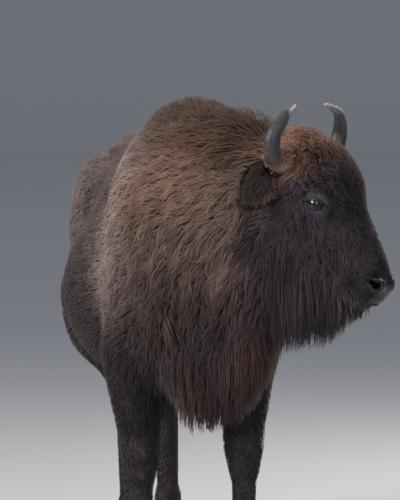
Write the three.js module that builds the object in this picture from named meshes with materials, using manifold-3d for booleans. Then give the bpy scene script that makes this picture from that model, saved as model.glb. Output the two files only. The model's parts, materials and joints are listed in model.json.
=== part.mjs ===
// A wisent (European bison), an adult cow in winter coat, standing with her head
// turned to her left. Millimetres, +Z up, +X forward, +Y to the animal's left.
//
// The outer shape is one signed distance field: rounded masses (ribs, hump, scapulae,
// jaw, cannon bones ...) placed by named sizes and blended into each other. The field is
// turned into faceted solids region by region, and thin cuts part it into the pieces
// that a person would name. Horns, ears, eyes, hoof claws and dewclaws are solids of
// their own, each with a small gap to what it grows from.
import * as THREE from 'three';
import { mergeVertices } from 'three/addons/utils/BufferGeometryUtils.js';
import Module from 'manifold-3d';

const wasm = await Module();
wasm.setup();

// ------------------------------------------------------------------ driving dimensions
const HUMP_TOP = 1475;          // top of the hump's flesh and coat, above the floor, before blending
const RIB_CENTRE = 1005;        // height of the middle of the rib cage
const LOIN_CENTRE = 1250;       // height of the middle of the loin
const HEAD_YAW = 46;            // degrees, head turned to the left
const HEAD_PITCH = 50;          // degrees, the face's slope below level
const HEAD_AT = [464, 250, 1432];   // middle between the horn bases
const FORE_LEFT = [-50, 166];   // x, y of each foot's middle on the floor
const FORE_RIGHT = [10, -200];
const HIND_LEFT = [-1200, 138];
const HIND_RIGHT = [-920, -54];
const KNEE = 410, FORE_FETLOCK = 132;
const HOCK = 540, HIND_FETLOCK = 134;
const EYE_RADIUS = 26;
const LID_OPENING = [30, 17, 14.5];    // half length, half depth, half height
const HORN_RADIUS = 30.5;         // at the base
const EAR_LENGTH = 150, EAR_WIDTH = 114, EAR_THICK = 13, EAR_CUP = 24;
const CLAW_LENGTH = 104, CLAW_WIDTH = 49, CLAW_HEIGHT = 76;
const CUT = 0.5;                // width of the thin cuts between neighbours
const GAP = 0.6;                // gap between a horn, ear, eye or claw and its seat

// ------------------------------------------------------------------ small vector helpers
const rad = THREE.MathUtils.degToRad;
const dot = (a, b) => a[0] * b[0] + a[1] * b[1] + a[2] * b[2];
const add = (a, b, s = 1) => [a[0] + b[0] * s, a[1] + b[1] * s, a[2] + b[2] * s];
const sub = (a, b) => [a[0] - b[0], a[1] - b[1], a[2] - b[2]];
const len = (a) => Math.hypot(a[0], a[1], a[2]);
const unit = (a) => { const l = len(a); return [a[0] / l, a[1] / l, a[2] / l]; };
const cross = (a, b) => [a[1] * b[2] - a[2] * b[1], a[2] * b[0] - a[0] * b[2], a[0] * b[1] - a[1] * b[0]];
const mix = (a, b, t) => a + (b - a) * t;

// ------------------------------------------------------------------ the head's own axes
const UP = [0, 0, 1];
const AHEAD = [Math.cos(rad(HEAD_YAW)), Math.sin(rad(HEAD_YAW)), 0];
const LEFT = [-Math.sin(rad(HEAD_YAW)), Math.cos(rad(HEAD_YAW)), 0];
const DOWN_FACE = add(AHEAD.map((v) => v * Math.cos(rad(HEAD_PITCH))), UP, -Math.sin(rad(HEAD_PITCH)));
const OUT_FACE = add(AHEAD.map((v) => v * Math.sin(rad(HEAD_PITCH))), UP, Math.cos(rad(HEAD_PITCH)));
const head = (down, out, left) => add(add(add(HEAD_AT, DOWN_FACE, down), OUT_FACE, out), LEFT, left);
const HEAD_AXES = [DOWN_FACE, OUT_FACE, LEFT];
const BODY_AXES = [[1, 0, 0], [0, 0, 1], [0, 1, 0]];
const tipped = (deg) => {
  const c = Math.cos(rad(deg)), s = Math.sin(rad(deg));
  return [[c, 0, -s], [s, 0, c], [0, 1, 0]];
};

// ------------------------------------------------------------------ masses of the body
// blob: an ellipsoid with radii (forward, up, left) in its own axes
// limb: a round cone from a to b; flat squeezes it along a direction
const body = [];
const blob = (c, r, blend, axes = BODY_AXES) => body.push({ c, r, blend, axes });
const pair = (c, r, blend, axes) => { blob(c, r, blend, axes); blob([c[0], -c[1], c[2]], r, blend, axes); };
const limb = (a, b, ra, rb, blend, flat) => body.push({ a, b, ra, rb, blend, flat });

// trunk
blob([-330, 0, RIB_CENTRE], [540, 392, 334], 120);
blob([-600, 0, RIB_CENTRE - 75], [450, 326, 346], 120);
blob([60, -4, 960], [315, 375, 256], 120);
blob([-110, 0, HUMP_TOP - 203], [395, 352, 203], 120);
pair([-50, 135, 1130], [225, 370, 148], 100, tipped(-14));
blob([-10, 160, 880], [205, 250, 110], 90);
blob([0, -182, 880], [205, 250, 115], 90);
limb([-400, 0, LOIN_CENTRE + 10], [-930, 0, LOIN_CENTRE - 10], 211, 192, 110);
blob([-1070, 0, 1175], [255, 270, 208], 100);
pair([-985, 132, 1282], [175, 105, 98], 70);
pair([-1070, 122, 1010], [238, 330, 124], 80, tipped(8));
pair([-850, 158, 880], [200, 190, 125], 90);
blob([-1000, 0, 1392], [250, 88, 62], 60);
// neck, crest and brisket
const NECK_FLAT = [-0.42, 0.907, 0];
limb([130, 15, 1180], [400, 205, 1285], 300, 200, 120, [NECK_FLAT, 0.82]);
limb([-40, 0, 1425], [230, 95, 1440], 160, 140, 90);
limb([230, 95, 1440], [385, 195, 1400], 140, 115, 70);
limb([170, 40, 900], [395, 190, 1090], 215, 150, 110, [NECK_FLAT, 0.8]);
limb([215, 35, 740], [215, 45, 590], 125, 70, 70);
limb([232, -62, 770], [228, -48, 582], 100, 64, 70);
limb([330, 130, 900], [240, 55, 700], 118, 98, 70);
// head
blob(head(70, -20, 0), [160, 122, 138], 60, HEAD_AXES);
blob(head(-14, 8, 0), [88, 86, 118], 50, HEAD_AXES);
blob(head(90, 54, 0), [120, 64, 114], 50, HEAD_AXES);
limb(head(160, -42, 0), head(402, -46, 0), 130, 80, 60);
blob(head(472, -70, 0), [68, 62, 73], 36, HEAD_AXES);
blob(head(458, -124, 0), [64, 44, 50], 30, HEAD_AXES);
limb(head(110, -190, 0), head(425, -122, 0), 100, 56, 60);
for (const s of [-1, 1]) {
  blob(head(130, -115, 74 * s), [140, 125, 72], 60, HEAD_AXES);
  blob(head(235, -150, 56 * s), [150, 92, 64], 60, HEAD_AXES);
  blob(head(178, 0, 106 * s), [60, 48, 44], 40, HEAD_AXES);
  blob(head(489, -32, 32 * s), [30, 28, 31], 30, HEAD_AXES);
  blob(head(-5, 0, 125 * s), [48, 48, 60], 40, HEAD_AXES);
}
// beard
limb([555, 343, 1015], [464, 250, 936], 88, 100, 60);
limb([464, 250, 936], [385, 170, 960], 100, 110, 80);
// legs
for (const [x, y] of [FORE_LEFT, FORE_RIGHT]) {
  const s = Math.sign(y);
  limb([x - 45, y + 10 * s, 760], [x - 5, y, KNEE + 40], 126, 74, 60);
  limb([x, y, KNEE + 30], [x + 4, y, KNEE - 35], 68, 60, 30);
  limb([x + 4, y, KNEE - 35], [x + 6, y, FORE_FETLOCK + 18], 48, 42, 20);
  limb([x + 4, y, FORE_FETLOCK + 8], [x + 2, y, FORE_FETLOCK - 7], 52, 50, 20);
  limb([x + 8, y, FORE_FETLOCK - 12], [x + 36, y, 82], 46, 47, 20);
}
for (const [x, y] of [HIND_LEFT, HIND_RIGHT]) {
  const s = Math.sign(y);
  const hip = s * Math.max(Math.abs(y), 122), stifle = x + 190 - (x + 1200) * 0.45;
  limb([-935, hip + 24 * s, 900], [stifle, hip + 16 * s, 790], 146, 122, 90);
  limb([stifle - 10, hip + 18 * s, 800], [x - 8, y, HOCK + 30], 128, 70, 70);
  limb([x - 20 + (-1200 - x) * 0.5, hip, 900], [x - 24, y, HOCK + 60], 95, 46, 60);
  limb([x - 20, y, HOCK + 18], [x - 24, y, HOCK - 60], 64, 55, 36);
  limb([x - 22, y, HOCK - 60], [x + 16, y, HIND_FETLOCK + 16], 50, 43, 20);
  limb([x + 14, y, HIND_FETLOCK + 8], [x + 10, y, HIND_FETLOCK - 8], 53, 50, 20);
  limb([x + 18, y, HIND_FETLOCK - 14], [x + 48, y, 82], 46, 47, 20);
}
// the tail hangs clear of the rump, so it is a field of its own
const tailBody = [];
{
  const keep = body.length;
  limb([-1262, 0, 1336], [-1352, 0, 1235], 66, 42, 40);
  limb([-1352, 0, 1235], [-1378, 0, 1120], 40, 34, 30);
  limb([-1378, 0, 1120], [-1376, 0, 800], 34, 30, 20);
  limb([-1376, 0, 790], [-1370, 0, 590], 42, 34, 30);
  tailBody.push(...body.splice(keep));
}

// ------------------------------------------------------------------ the distance field
for (const p of [...body, ...tailBody]) {
  if (p.flat) {                       // squeeze: the far end is moved once, points are moved when asked
    const [n0, f] = p.flat, n = unit(n0);
    p.n = n; p.stretch = 1 / f - 1;
    p.bb = add(p.b, n, dot(sub(p.b, p.a), n) * p.stretch);
  } else if (p.a) p.bb = p.b;
}
function blobDistance(p, x, y, z) {
  const dx = x - p.c[0], dy = y - p.c[1], dz = z - p.c[2];
  let k0 = 0, k1 = 0;
  for (let i = 0; i < 3; i++) {
    const a = p.axes[i], q = dx * a[0] + dy * a[1] + dz * a[2], r = p.r[i];
    k0 += (q / r) ** 2; k1 += (q / (r * r)) ** 2;
  }
  k0 = Math.sqrt(k0) + 1e-9; k1 = Math.sqrt(k1) + 1e-12;
  return k0 * (k0 - 1) / k1;
}
function limbDistance(p, x, y, z) {
  const a = p.a;
  let q = [x - a[0], y - a[1], z - a[2]];
  if (p.n) q = add(q, p.n, dot(q, p.n) * p.stretch);
  const ba = sub(p.bb, a), l2 = dot(ba, ba), rr = p.ra - p.rb, a2 = l2 - rr * rr;
  const yy = dot(q, ba), zz = yy - l2;
  const t = [q[0] * l2 - ba[0] * yy, q[1] * l2 - ba[1] * yy, q[2] * l2 - ba[2] * yy];
  const x2 = dot(t, t), y2 = yy * yy * l2, z2 = zz * zz * l2;
  const k = Math.sign(rr) * rr * rr * x2;
  if (Math.sign(zz) * a2 * z2 > k) return Math.sqrt(x2 + z2) / l2 - p.rb;
  if (Math.sign(yy) * a2 * y2 < k) return Math.sqrt(x2 + y2) / l2 - p.ra;
  return (Math.sqrt(Math.max(x2 * a2 / l2, 0)) + yy * rr) / l2 - p.ra;
}
const fieldOf = (masses) => (x, y, z) => {
  let out = 1e4;
  for (const p of masses) {
    const d = p.c ? blobDistance(p, x, y, z) : limbDistance(p, x, y, z);
    const h = Math.max(p.blend - Math.abs(out - d), 0) / p.blend;
    out = Math.min(out, d) - h * h * p.blend / 4;
  }
  return out;
};
const bodyField = fieldOf(body), tailField = fieldOf(tailBody);

// ------------------------------------------------------------------ field to faceted solid
// Surface nets: one corner point per cell that the surface crosses, drawn onto the surface,
// and one four-sided face per grid edge that it crosses.
// The grid's lines may lie closer where the form is smaller.
function lines(lo, hi, cell, from = hi, to = hi, fine = cell) {
  const out = [lo];
  while (out.at(-1) < hi) {
    const at = out.at(-1);
    out.push(at + (at >= from - fine && at < to ? fine : cell));
  }
  return out;
}
function facets(field, grid) {
  const n = grid.map((g) => g.length);
  const at = (i, j, k) => (k * n[1] + j) * n[0] + i;
  const value = new Float64Array(n[0] * n[1] * n[2]);
  for (let k = 0; k < n[2]; k++) for (let j = 0; j < n[1]; j++) for (let i = 0; i < n[0]; i++) {
    const edge = i === 0 || j === 0 || k === 0 || i === n[0] - 1 || j === n[1] - 1 || k === n[2] - 1;
    const v = field(grid[0][i], grid[1][j], grid[2][k]);
    value[at(i, j, k)] = edge ? Math.max(v, 10) : (v === 0 ? 1e-6 : v);
  }
  const points = [], index = new Int32Array(value.length).fill(-1);
  const corner = [[0, 0, 0], [1, 0, 0], [0, 1, 0], [1, 1, 0], [0, 0, 1], [1, 0, 1], [0, 1, 1], [1, 1, 1]];
  const edges = [[0, 1], [2, 3], [4, 5], [6, 7], [0, 2], [1, 3], [4, 6], [5, 7], [0, 4], [1, 5], [2, 6], [3, 7]];
  const e = 1.5;
  for (let k = 0; k < n[2] - 1; k++) for (let j = 0; j < n[1] - 1; j++) for (let i = 0; i < n[0] - 1; i++) {
    const v = corner.map((c) => value[at(i + c[0], j + c[1], k + c[2])]);
    let count = 0; const sum = [0, 0, 0];
    for (const [p, q] of edges) {
      if ((v[p] < 0) === (v[q] < 0)) continue;
      const t = v[p] / (v[p] - v[q]); count++;
      for (let a = 0; a < 3; a++) sum[a] += mix(corner[p][a], corner[q][a], t);
    }
    if (!count) continue;
    const ijk = [i, j, k];
    const cell = ijk.map((c, a) => grid[a][c + 1] - grid[a][c]);
    let pt = ijk.map((c, a) => grid[a][c] + sum[a] / count * cell[a]);
    const inner = ijk.every((c, a) => c > 0 && c < n[a] - 2);
    if (inner) {
      const start = pt.slice();
      for (let step = 0; step < 3; step++) {
        const f = field(...pt);
        const g = [
          (field(pt[0] + e, pt[1], pt[2]) - field(pt[0] - e, pt[1], pt[2])) / (2 * e),
          (field(pt[0], pt[1] + e, pt[2]) - field(pt[0], pt[1] - e, pt[2])) / (2 * e),
          (field(pt[0], pt[1], pt[2] + e) - field(pt[0], pt[1], pt[2] - e)) / (2 * e)];
        pt = add(pt, g, -f / Math.max(dot(g, g), 0.05));
      }
      pt = pt.map((c, a) => Math.min(Math.max(c, start[a] - 0.45 * cell[a]), start[a] + 0.45 * cell[a]));
    }
    index[at(i, j, k)] = points.length / 3;
    points.push(...pt);
  }
  const tris = [];
  const far = (p, q) => Math.hypot(points[3 * p] - points[3 * q], points[3 * p + 1] - points[3 * q + 1], points[3 * p + 2] - points[3 * q + 2]);
  const quad = (a, b, c, d, flip) => {
    const q = flip ? [a, d, c, b] : [a, b, c, d];
    if (far(q[0], q[2]) <= far(q[1], q[3])) tris.push(q[0], q[1], q[2], q[0], q[2], q[3]);
    else tris.push(q[1], q[2], q[3], q[1], q[3], q[0]);
  };
  for (let k = 0; k < n[2] - 1; k++) for (let j = 0; j < n[1] - 1; j++) for (let i = 0; i < n[0] - 1; i++) {
    const inside = value[at(i, j, k)] < 0;
    if (j > 0 && k > 0 && inside !== value[at(i + 1, j, k)] < 0)
      quad(index[at(i, j - 1, k - 1)], index[at(i, j, k - 1)], index[at(i, j, k)], index[at(i, j - 1, k)], !inside);
    if (i > 0 && k > 0 && inside !== value[at(i, j + 1, k)] < 0)
      quad(index[at(i - 1, j, k - 1)], index[at(i - 1, j, k)], index[at(i, j, k)], index[at(i, j, k - 1)], !inside);
    if (i > 0 && j > 0 && inside !== value[at(i, j, k + 1)] < 0)
      quad(index[at(i - 1, j - 1, k)], index[at(i, j - 1, k)], index[at(i, j, k)], index[at(i - 1, j, k)], !inside);
  }
  return solid(points, tris);
}

// ------------------------------------------------------------------ solids and cuts
const solid = (points, tris) => new wasm.Manifold(new wasm.Mesh({
  numProp: 3, vertProperties: new Float32Array(points), triVerts: new Uint32Array(tris) }));
function solidOf(geometry) {
  let g = geometry.clone();
  g.deleteAttribute('normal'); g.deleteAttribute('uv');
  g = mergeVertices(g, 1e-4);
  return solid(g.attributes.position.array, g.index.array);
}
function geometryOf(manifold) {
  const m = manifold.getMesh();
  const g = new THREE.BufferGeometry();
  g.setAttribute('position', new THREE.BufferAttribute(new Float32Array(m.vertProperties), 3));
  g.setIndex(new THREE.BufferAttribute(new Uint32Array(m.triVerts), 1));
  return g;
}
// draws the ends of each very short edge together, where a cut ran through a corner
function tidy(geometry, shortest = 0.4) {
  const p = Array.from(geometry.attributes.position.array);
  let tris = Array.from(geometry.index.array);
  const far = (a, b) => Math.hypot(p[3 * a] - p[3 * b], p[3 * a + 1] - p[3 * b + 1], p[3 * a + 2] - p[3 * b + 2]);
  const ring = (v) => {
    const s = new Set();
    for (let i = 0; i < tris.length; i += 3) {
      const t = [tris[i], tris[i + 1], tris[i + 2]];
      if (t.includes(v)) t.forEach((w) => w !== v && s.add(w));
    }
    return s;
  };
  const normal = (a, b, c) => {
    const g = (i) => [p[3 * i], p[3 * i + 1], p[3 * i + 2]];
    return cross(sub(g(b), g(a)), sub(g(c), g(a)));
  };
  for (let pass = 0; pass < 400; pass++) {
    let done = true;
    for (let i = 0; i < tris.length && done; i += 3) for (let e = 0; e < 3; e++) {
      const a = tris[i + e], b = tris[i + (e + 1) % 3];
      if (far(a, b) >= shortest) continue;
      const common = [...ring(a)].filter((v) => ring(b).has(v));
      if (common.length !== 2) continue;
      // b goes to a, unless a face would turn over
      const turned = [b, a].find((gone) => {
        const kept = gone === b ? a : b;
        for (let j = 0; j < tris.length; j += 3) {
          const t = [tris[j], tris[j + 1], tris[j + 2]];
          if (!t.includes(gone) || t.includes(kept)) continue;
          const before = normal(...t), after = normal(...t.map((v) => (v === gone ? kept : v)));
          if (dot(before, after) < 0 && len(after) > 1e-3 && len(before) > 1e-3) return false;
        }
        return true;
      });
      if (turned === undefined) continue;
      const kept = turned === b ? a : b, next = [];
      for (let j = 0; j < tris.length; j += 3) {
        const t = [tris[j], tris[j + 1], tris[j + 2]].map((v) => (v === turned ? kept : v));
        if (t[0] !== t[1] && t[1] !== t[2] && t[0] !== t[2]) next.push(...t);
      }
      tris = next; done = false; break;
    }
    if (done) break;
  }
  const used = [...new Set(tris)], where = new Map(used.map((v, i) => [v, i]));
  const g = new THREE.BufferGeometry();
  g.setAttribute('position', new THREE.BufferAttribute(new Float32Array(used.flatMap((v) => [p[3 * v], p[3 * v + 1], p[3 * v + 2]])), 3));
  g.setIndex(tris.map((v) => where.get(v)));
  return g;
}
// the largest connected piece, so that a stray sliver of a cut never stays
const whole = (m) => m.decompose().reduce((a, b) => (b.volume() > a.volume() ? b : a));
// the same solid with each corner moved outwards, to cut a neighbour clear of it
function grown(manifold, by) {
  const g = geometryOf(manifold);
  g.computeVertexNormals();
  const p = g.attributes.position, n = g.attributes.normal, out = [];
  for (let i = 0; i < p.count; i++) out.push(p.getX(i) + n.getX(i) * by, p.getY(i) + n.getY(i) * by, p.getZ(i) + n.getZ(i) * by);
  return solid(out, g.index.array);
}
// a big block on the side of a plane that the normal points to, shifted by half a cut
function halfSpace(point, normal, shift = CUT / 2, size = 4000) {
  const n = unit(normal);
  const g = new THREE.BoxGeometry(size, size, size);
  g.applyMatrix4(new THREE.Matrix4().makeTranslation(0, 0, size / 2 + shift));
  g.applyQuaternion(new THREE.Quaternion().setFromUnitVectors(new THREE.Vector3(0, 0, 1), new THREE.Vector3(...n)));
  g.translate(...point);
  return solidOf(g);
}
function block(lo, hi) {
  const g = new THREE.BoxGeometry(hi[0] - lo[0], hi[1] - lo[1], hi[2] - lo[2]);
  g.translate((hi[0] + lo[0]) / 2, (hi[1] + lo[1]) / 2, (hi[2] + lo[2]) / 2);
  return solidOf(g);
}

// ------------------------------------------------------------------ where the cuts run
const HEAD_CUT_AT = add([HEAD_AT[0], HEAD_AT[1], 1300], AHEAD, -132);
const HEAD_CUT_N = add(AHEAD.map((v) => v * Math.cos(rad(15))), UP, Math.sin(rad(15)));
const NECK_CUT_AT = [232, 60, 1050];
const NECK_CUT_N = [Math.cos(rad(40)) * Math.cos(rad(15)), Math.cos(rad(40)) * Math.sin(rad(15)), Math.sin(rad(40))];
const flip = (n) => n.map((v) => -v);
// a leg is what lies under a plane that rises outwards from the body's middle, between two upright planes
const legCut = (s, x0, x1, z0, rise) => ({
  s, x0, x1, at: [0, 8 * s, z0], n: unit([0, s * rise, -1]),
});
const LEG_CUTS = {
  foreleg_left: legCut(1, -228, 72, 612, 0.78),
  foreleg_right: legCut(-1, -180, 118, 612, 0.78),
  hindleg_left: legCut(1, -1600, -790, 700, 0.8),
  hindleg_right: legCut(-1, -1600, -735, 690, 0.8),
};
function legRoom(c, shift) {           // the room that a leg's solid may fill
  const lo = [c.x0 - shift, c.s > 0 ? 4 + -shift : -700, 0], hi = [c.x1 + shift, c.s > 0 ? 700 : -4 + shift, 1100];
  return block([lo[0], lo[1], 20], hi).intersect(halfSpace(c.at, c.n, -shift));
}

// ------------------------------------------------------------------ the flesh
const trunkRaw = facets(bodyField, [lines(-1510, 720, 100, -170, 720, 72), lines(-500, 620, 80), lines(370, 1800, 80, 400, 760, 66)]);
let trunk = trunkRaw.intersect(halfSpace(NECK_CUT_AT, flip(NECK_CUT_N)))
  .intersect(halfSpace(HEAD_CUT_AT, flip(HEAD_CUT_N)));
const pieces = {};
for (const [name, c] of Object.entries(LEG_CUTS)) {
  trunk = trunk.subtract(legRoom(c, CUT / 2));
  const [x, y] = { foreleg_left: FORE_LEFT, foreleg_right: FORE_RIGHT, hindleg_left: HIND_LEFT, hindleg_right: HIND_RIGHT }[name];
  const hind = name.startsWith('hind');
  const raw = facets(bodyField, [
    lines(x - 306, x + (hind ? 560 : 300), 66, x - 80, x + 105, 46),
    lines(y > 0 ? -80 : y - 250, y > 0 ? y + 250 : 80, 62, y - 66, y + 66, 42),
    lines(2, 1080, 74, 40, 200, 52)]);
  pieces[name] = { raw, cut: c };
}
const neck = trunkRaw
  .intersect(halfSpace(NECK_CUT_AT, NECK_CUT_N)).intersect(halfSpace(HEAD_CUT_AT, flip(HEAD_CUT_N)));
const HEAD_GRID = [lines(230, 880, 41), lines(50, 720, 41), lines(790, 1640, 44)];
const headRaw = facets(bodyField, HEAD_GRID);
const headGrown = grown(headRaw, GAP);
let headSolid = headRaw.intersect(halfSpace(HEAD_CUT_AT, HEAD_CUT_N)).intersect(halfSpace(NECK_CUT_AT, NECK_CUT_N, -100));
const trunkGrown = grown(trunkRaw, GAP);
const tail = facets(tailField, [lines(-1500, -1160, 33), lines(-110, 110, 30), lines(490, 1460, 62, 1200, 1400, 50)]).subtract(trunkGrown);

// ------------------------------------------------------------------ eyes in their sockets
const eyes = {};
for (const [name, s] of [['eye_left', 1], ['eye_right', -1]]) {
  const at = head(183, 2, 125 * s);
  const ball = (r, ws, hs) => {
    const g = new THREE.SphereGeometry(r, ws, hs);
    g.translate(...at);
    return solidOf(g);
  };
  headSolid = headSolid.subtract(ball(EYE_RADIUS + GAP + 0.6, 14, 10));
  // the opening between the lids: an almond that drops a little towards the muzzle
  const lids = new THREE.SphereGeometry(1, 12, 8);
  lids.scale(...LID_OPENING);
  const fore = unit(add(AHEAD, UP, -0.2)), side = LEFT.map((v) => v * s), over = cross(fore, side);
  lids.applyMatrix4(new THREE.Matrix4().makeBasis(...[fore, side, over].map((v) => new THREE.Vector3(...v))));
  lids.translate(...add(at, side, EYE_RADIUS * 0.86));
  headSolid = headSolid.subtract(solidOf(lids));
  eyes[name] = ball(EYE_RADIUS, 12, 9);
}

// ------------------------------------------------------------------ horns
// out from the head's middle, ahead and up from HEAD_AT: out, up, then in at the tips
const HORN_PATH = [[95, 0, -20], [150, -4, -13], [190, -1, 10], [209, 5, 45], [210, 13, 83], [184, 27, 123], [157, 30, 149], [96, 23, 172]];
const HORN_TAPER = [1, 0.99, 0.94, 0.88, 0.79, 0.63, 0.46, 0.16];
function loft(rings, closeEnds = true) {         // rings of equal point counts to one closed solid
  const m = rings[0].length, points = rings.flat(2), tris = [];
  for (let r = 0; r + 1 < rings.length; r++) for (let i = 0; i < m; i++) {
    const a = r * m + i, b = r * m + (i + 1) % m, c = a + m, d = b + m;
    tris.push(a, b, d, a, d, c);
  }
  if (closeEnds) {
    for (const [ring, last] of [[0, false], [rings.length - 1, true]]) {
      const c = rings[ring].reduce((p, q) => add(p, q), [0, 0, 0]).map((v) => v / m);
      const ci = points.length / 3; points.push(...c);
      for (let i = 0; i < m; i++) {
        const a = ring * m + i, b = ring * m + (i + 1) % m;
        if (last) tris.push(a, b, ci); else tris.push(b, a, ci);
      }
    }
  }
  const made = solid(points, tris);
  if (made.volume() > 0) return made;
  for (let i = 0; i < tris.length; i += 3) [tris[i], tris[i + 1]] = [tris[i + 1], tris[i]];
  return solid(points, tris);
}
function hornRings(s, steps, sides) {
  const place = ([a, f, u]) => new THREE.Vector3(...add(add(add(HEAD_AT, LEFT, a * s), AHEAD, f), UP, u));
  const curve = new THREE.CatmullRomCurve3(HORN_PATH.map(place), false, 'centripetal');
  const rings = []; const frames = curve.computeFrenetFrames(steps, false);
  for (let i = 0; i <= steps; i++) {
    const t = i / steps, p = curve.getPointAt(t), k = t * (HORN_TAPER.length - 1), j = Math.min(Math.floor(k), HORN_TAPER.length - 2);
    const r = HORN_RADIUS * mix(HORN_TAPER[j], HORN_TAPER[j + 1], k - j);
    rings.push(Array.from({ length: sides }, (_, q) => {
      const w = q / sides * Math.PI * 2;
      const v = p.clone().addScaledVector(frames.normals[i], Math.cos(w) * r).addScaledVector(frames.binormals[i], Math.sin(w) * r);
      return [v.x, v.y, v.z];
    }));
  }
  return rings;
}
const horns = {
  horn_left: loft(hornRings(1, 10, 8)).subtract(headGrown),
  horn_right: loft(hornRings(-1, 10, 8)).subtract(headGrown),
};

// ------------------------------------------------------------------ ears: cupped leaves
function earRings(s, steps, across) {
  const out = LEFT.map((v) => v * s);
  const root = add(add(add(HEAD_AT, AHEAD, -59), out, 140), UP, -46);
  const along = unit(add(add(out.map((v) => v * 0.8), AHEAD, -0.1), UP, -0.6));
  let face = add(add(AHEAD.map((v) => v * 0.85), out, 0.35), UP, 0.25);
  face = unit(add(face, along, -dot(face, along)));
  const side = cross(along, face);
  const rings = [];
  for (let i = 0; i <= steps; i++) {
    const t = i / steps;
    const wide = Math.max(0.5 * EAR_WIDTH * Math.pow(Math.sin(Math.PI * Math.min(0.16 + 0.84 * t, 0.985)), 0.62), 9);
    const cup = EAR_CUP * (1 - 0.35 * t), thick = EAR_THICK * (1 - 0.45 * t);
    const ring = [];
    const put = (v, w) => {
      const bend = cup * (v * v) * (wide / (0.5 * EAR_WIDTH)) - cup * 0.5;
      const edge = Math.sqrt(Math.max(1 - v * v * 0.9, 0));
      const c = add(add(add(root, along, t * EAR_LENGTH), side, v * wide), face, bend + w * thick * 0.5 * edge);
      ring.push(c);
    };
    for (let q = 0; q <= across; q++) put(-1 + 2 * q / across, 1);
    for (let q = across; q >= 0; q--) put(-1 + 2 * q / across, -1);
    rings.push(ring);
  }
  return rings;
}
const ears = {
  ear_left: loft(earRings(1, 6, 4)).subtract(headGrown).subtract(trunkGrown),
  ear_right: loft(earRings(-1, 6, 4)).subtract(headGrown).subtract(trunkGrown),
};

// ------------------------------------------------------------------ hooves: two claws and two dewclaws each
// a claw stands on its flat sole; its wall leans back towards the pastern
function clawRings(x, y, inward, hind) {
  const L = CLAW_LENGTH * (hind ? 0.95 : 1), W = CLAW_WIDTH * (hind ? 0.94 : 1), m = 10, rings = [];
  //            height        length  width  shift back
  const levels = [[0, 1, 1, 0], [0.5 * CLAW_HEIGHT, 0.86, 0.95, -5], [0.82 * CLAW_HEIGHT, 0.72, 0.88, -10], [CLAW_HEIGHT, 0.5, 0.66, -12]];
  for (const [z, kl, kw, back] of levels) {
    rings.push(Array.from({ length: m }, (_, i) => {
      const w = i / m * Math.PI * 2, c = Math.cos(w), sn = Math.sin(w);
      const px = L / 2 * kl * Math.sign(c) * Math.pow(Math.abs(c), 0.8);
      let py = W / 2 * kw * Math.sign(sn) * Math.pow(Math.abs(sn), 0.72);
      if (sn * inward > 0) py *= 0.8;                       // the wall between the two claws is flatter
      py *= 1 - 0.22 * Math.max(px / (L / 2), 0) ** 2;      // and the toe is narrower
      return [x + px + back - (1 - kl) * L * 0.18, y + py, z];
    }));
  }
  return rings;
}
const claws = {};
const legGrown = {};
const feet = [['fore_left', FORE_LEFT, 36, false], ['fore_right', FORE_RIGHT, 36, false], ['hind_left', HIND_LEFT, 50, true], ['hind_right', HIND_RIGHT, 50, true]];
for (const [foot, [x, y], ahead, hind] of feet) {
  const s = Math.sign(y), leg = (hind ? 'hindleg_' : 'foreleg_') + (s > 0 ? 'left' : 'right');
  const footLo = [x - 120, y - 120, 10], footHi = [x + 150, y + 120, 260];
  let raw = pieces[leg].raw;
  for (const [where, side] of [['outer', s], ['inner', -s]]) {
    const rings = clawRings(x + ahead + 16, y + side * 28.5, -side, hind);
    claws[`claw_${foot}_${where}`] = loft(rings);
    // seat in the pastern: the same claw, a little larger
    const c = [x + ahead + 16, y + side * 28.5, 30];
    const bigger = rings.map((r) => r.map((p) => [c[0] + (p[0] - c[0]) * 1.024, c[1] + (p[1] - c[1]) * 1.05, p[2] < 1 ? -30 : p[2] + 1]));
    raw = raw.subtract(loft(bigger));
    // dewclaws: short blunt cones behind the fetlock
    const fx = x + (hind ? 10 : 2), fz = (hind ? HIND_FETLOCK : FORE_FETLOCK) - 10;
    const a = [fx - 36, y + side * 22, fz + 4], b = [fx - 66, y + side * 30, fz - 30], dir = unit(sub(b, a));
    const u = unit(cross(dir, [0, 1, 0])), v = cross(dir, u);
    const cone = (stations) => loft(stations.map(([t, r]) => Array.from({ length: 6 }, (_, i) => {
      const w = i / 6 * Math.PI * 2;
      return add(add(add(a, sub(b, a), t), u, Math.cos(w) * r), v, Math.sin(w) * r);
    })));
    claws[`dewclaw_${foot}_${where}`] = cone([[0, 16], [1, 9]]);
    raw = raw.subtract(cone([[-GAP / len(sub(b, a)), 16.8], [1.1, 9.2]]));
  }
  pieces[leg].raw = raw;
}
const flesh = { trunk, neck, head: headSolid, tail };
for (const [name, p] of Object.entries(pieces)) flesh[name] = p.raw.intersect(legRoom(p.cut, -CUT / 2));

// ------------------------------------------------------------------ materials and the scene
const coat = (name, color, roughness) => new THREE.MeshStandardMaterial({ name, color, roughness, metalness: 0 });
const materials = {
  trunk: coat('coat', 0x5a4a42, 0.95), neck: coat('coat', 0x4f3c33, 0.95), head: coat('coat', 0x352b2c, 0.95),
  leg: coat('coat', 0x2a2427, 0.95), tail: coat('coat', 0x352b29, 0.95), ear: coat('coat', 0x241f22, 0.95),
  horn: coat('horn', 0x4a474b, 0.42), eye: coat('eye', 0x140d0b, 0.08), claw: coat('claw', 0x2b2729, 0.5),
};
const wisent = new THREE.Group();
const put = (name, manifold, material) => {
  const mesh = new THREE.Mesh(tidy(geometryOf(whole(manifold))), material);
  mesh.name = name;
  wisent.add(mesh);
};
put('trunk', flesh.trunk, materials.trunk);
put('neck', flesh.neck, materials.neck);
put('head', flesh.head, materials.head);
put('tail', flesh.tail, materials.tail);
for (const name of Object.keys(LEG_CUTS)) put(name, flesh[name], materials.leg);
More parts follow.
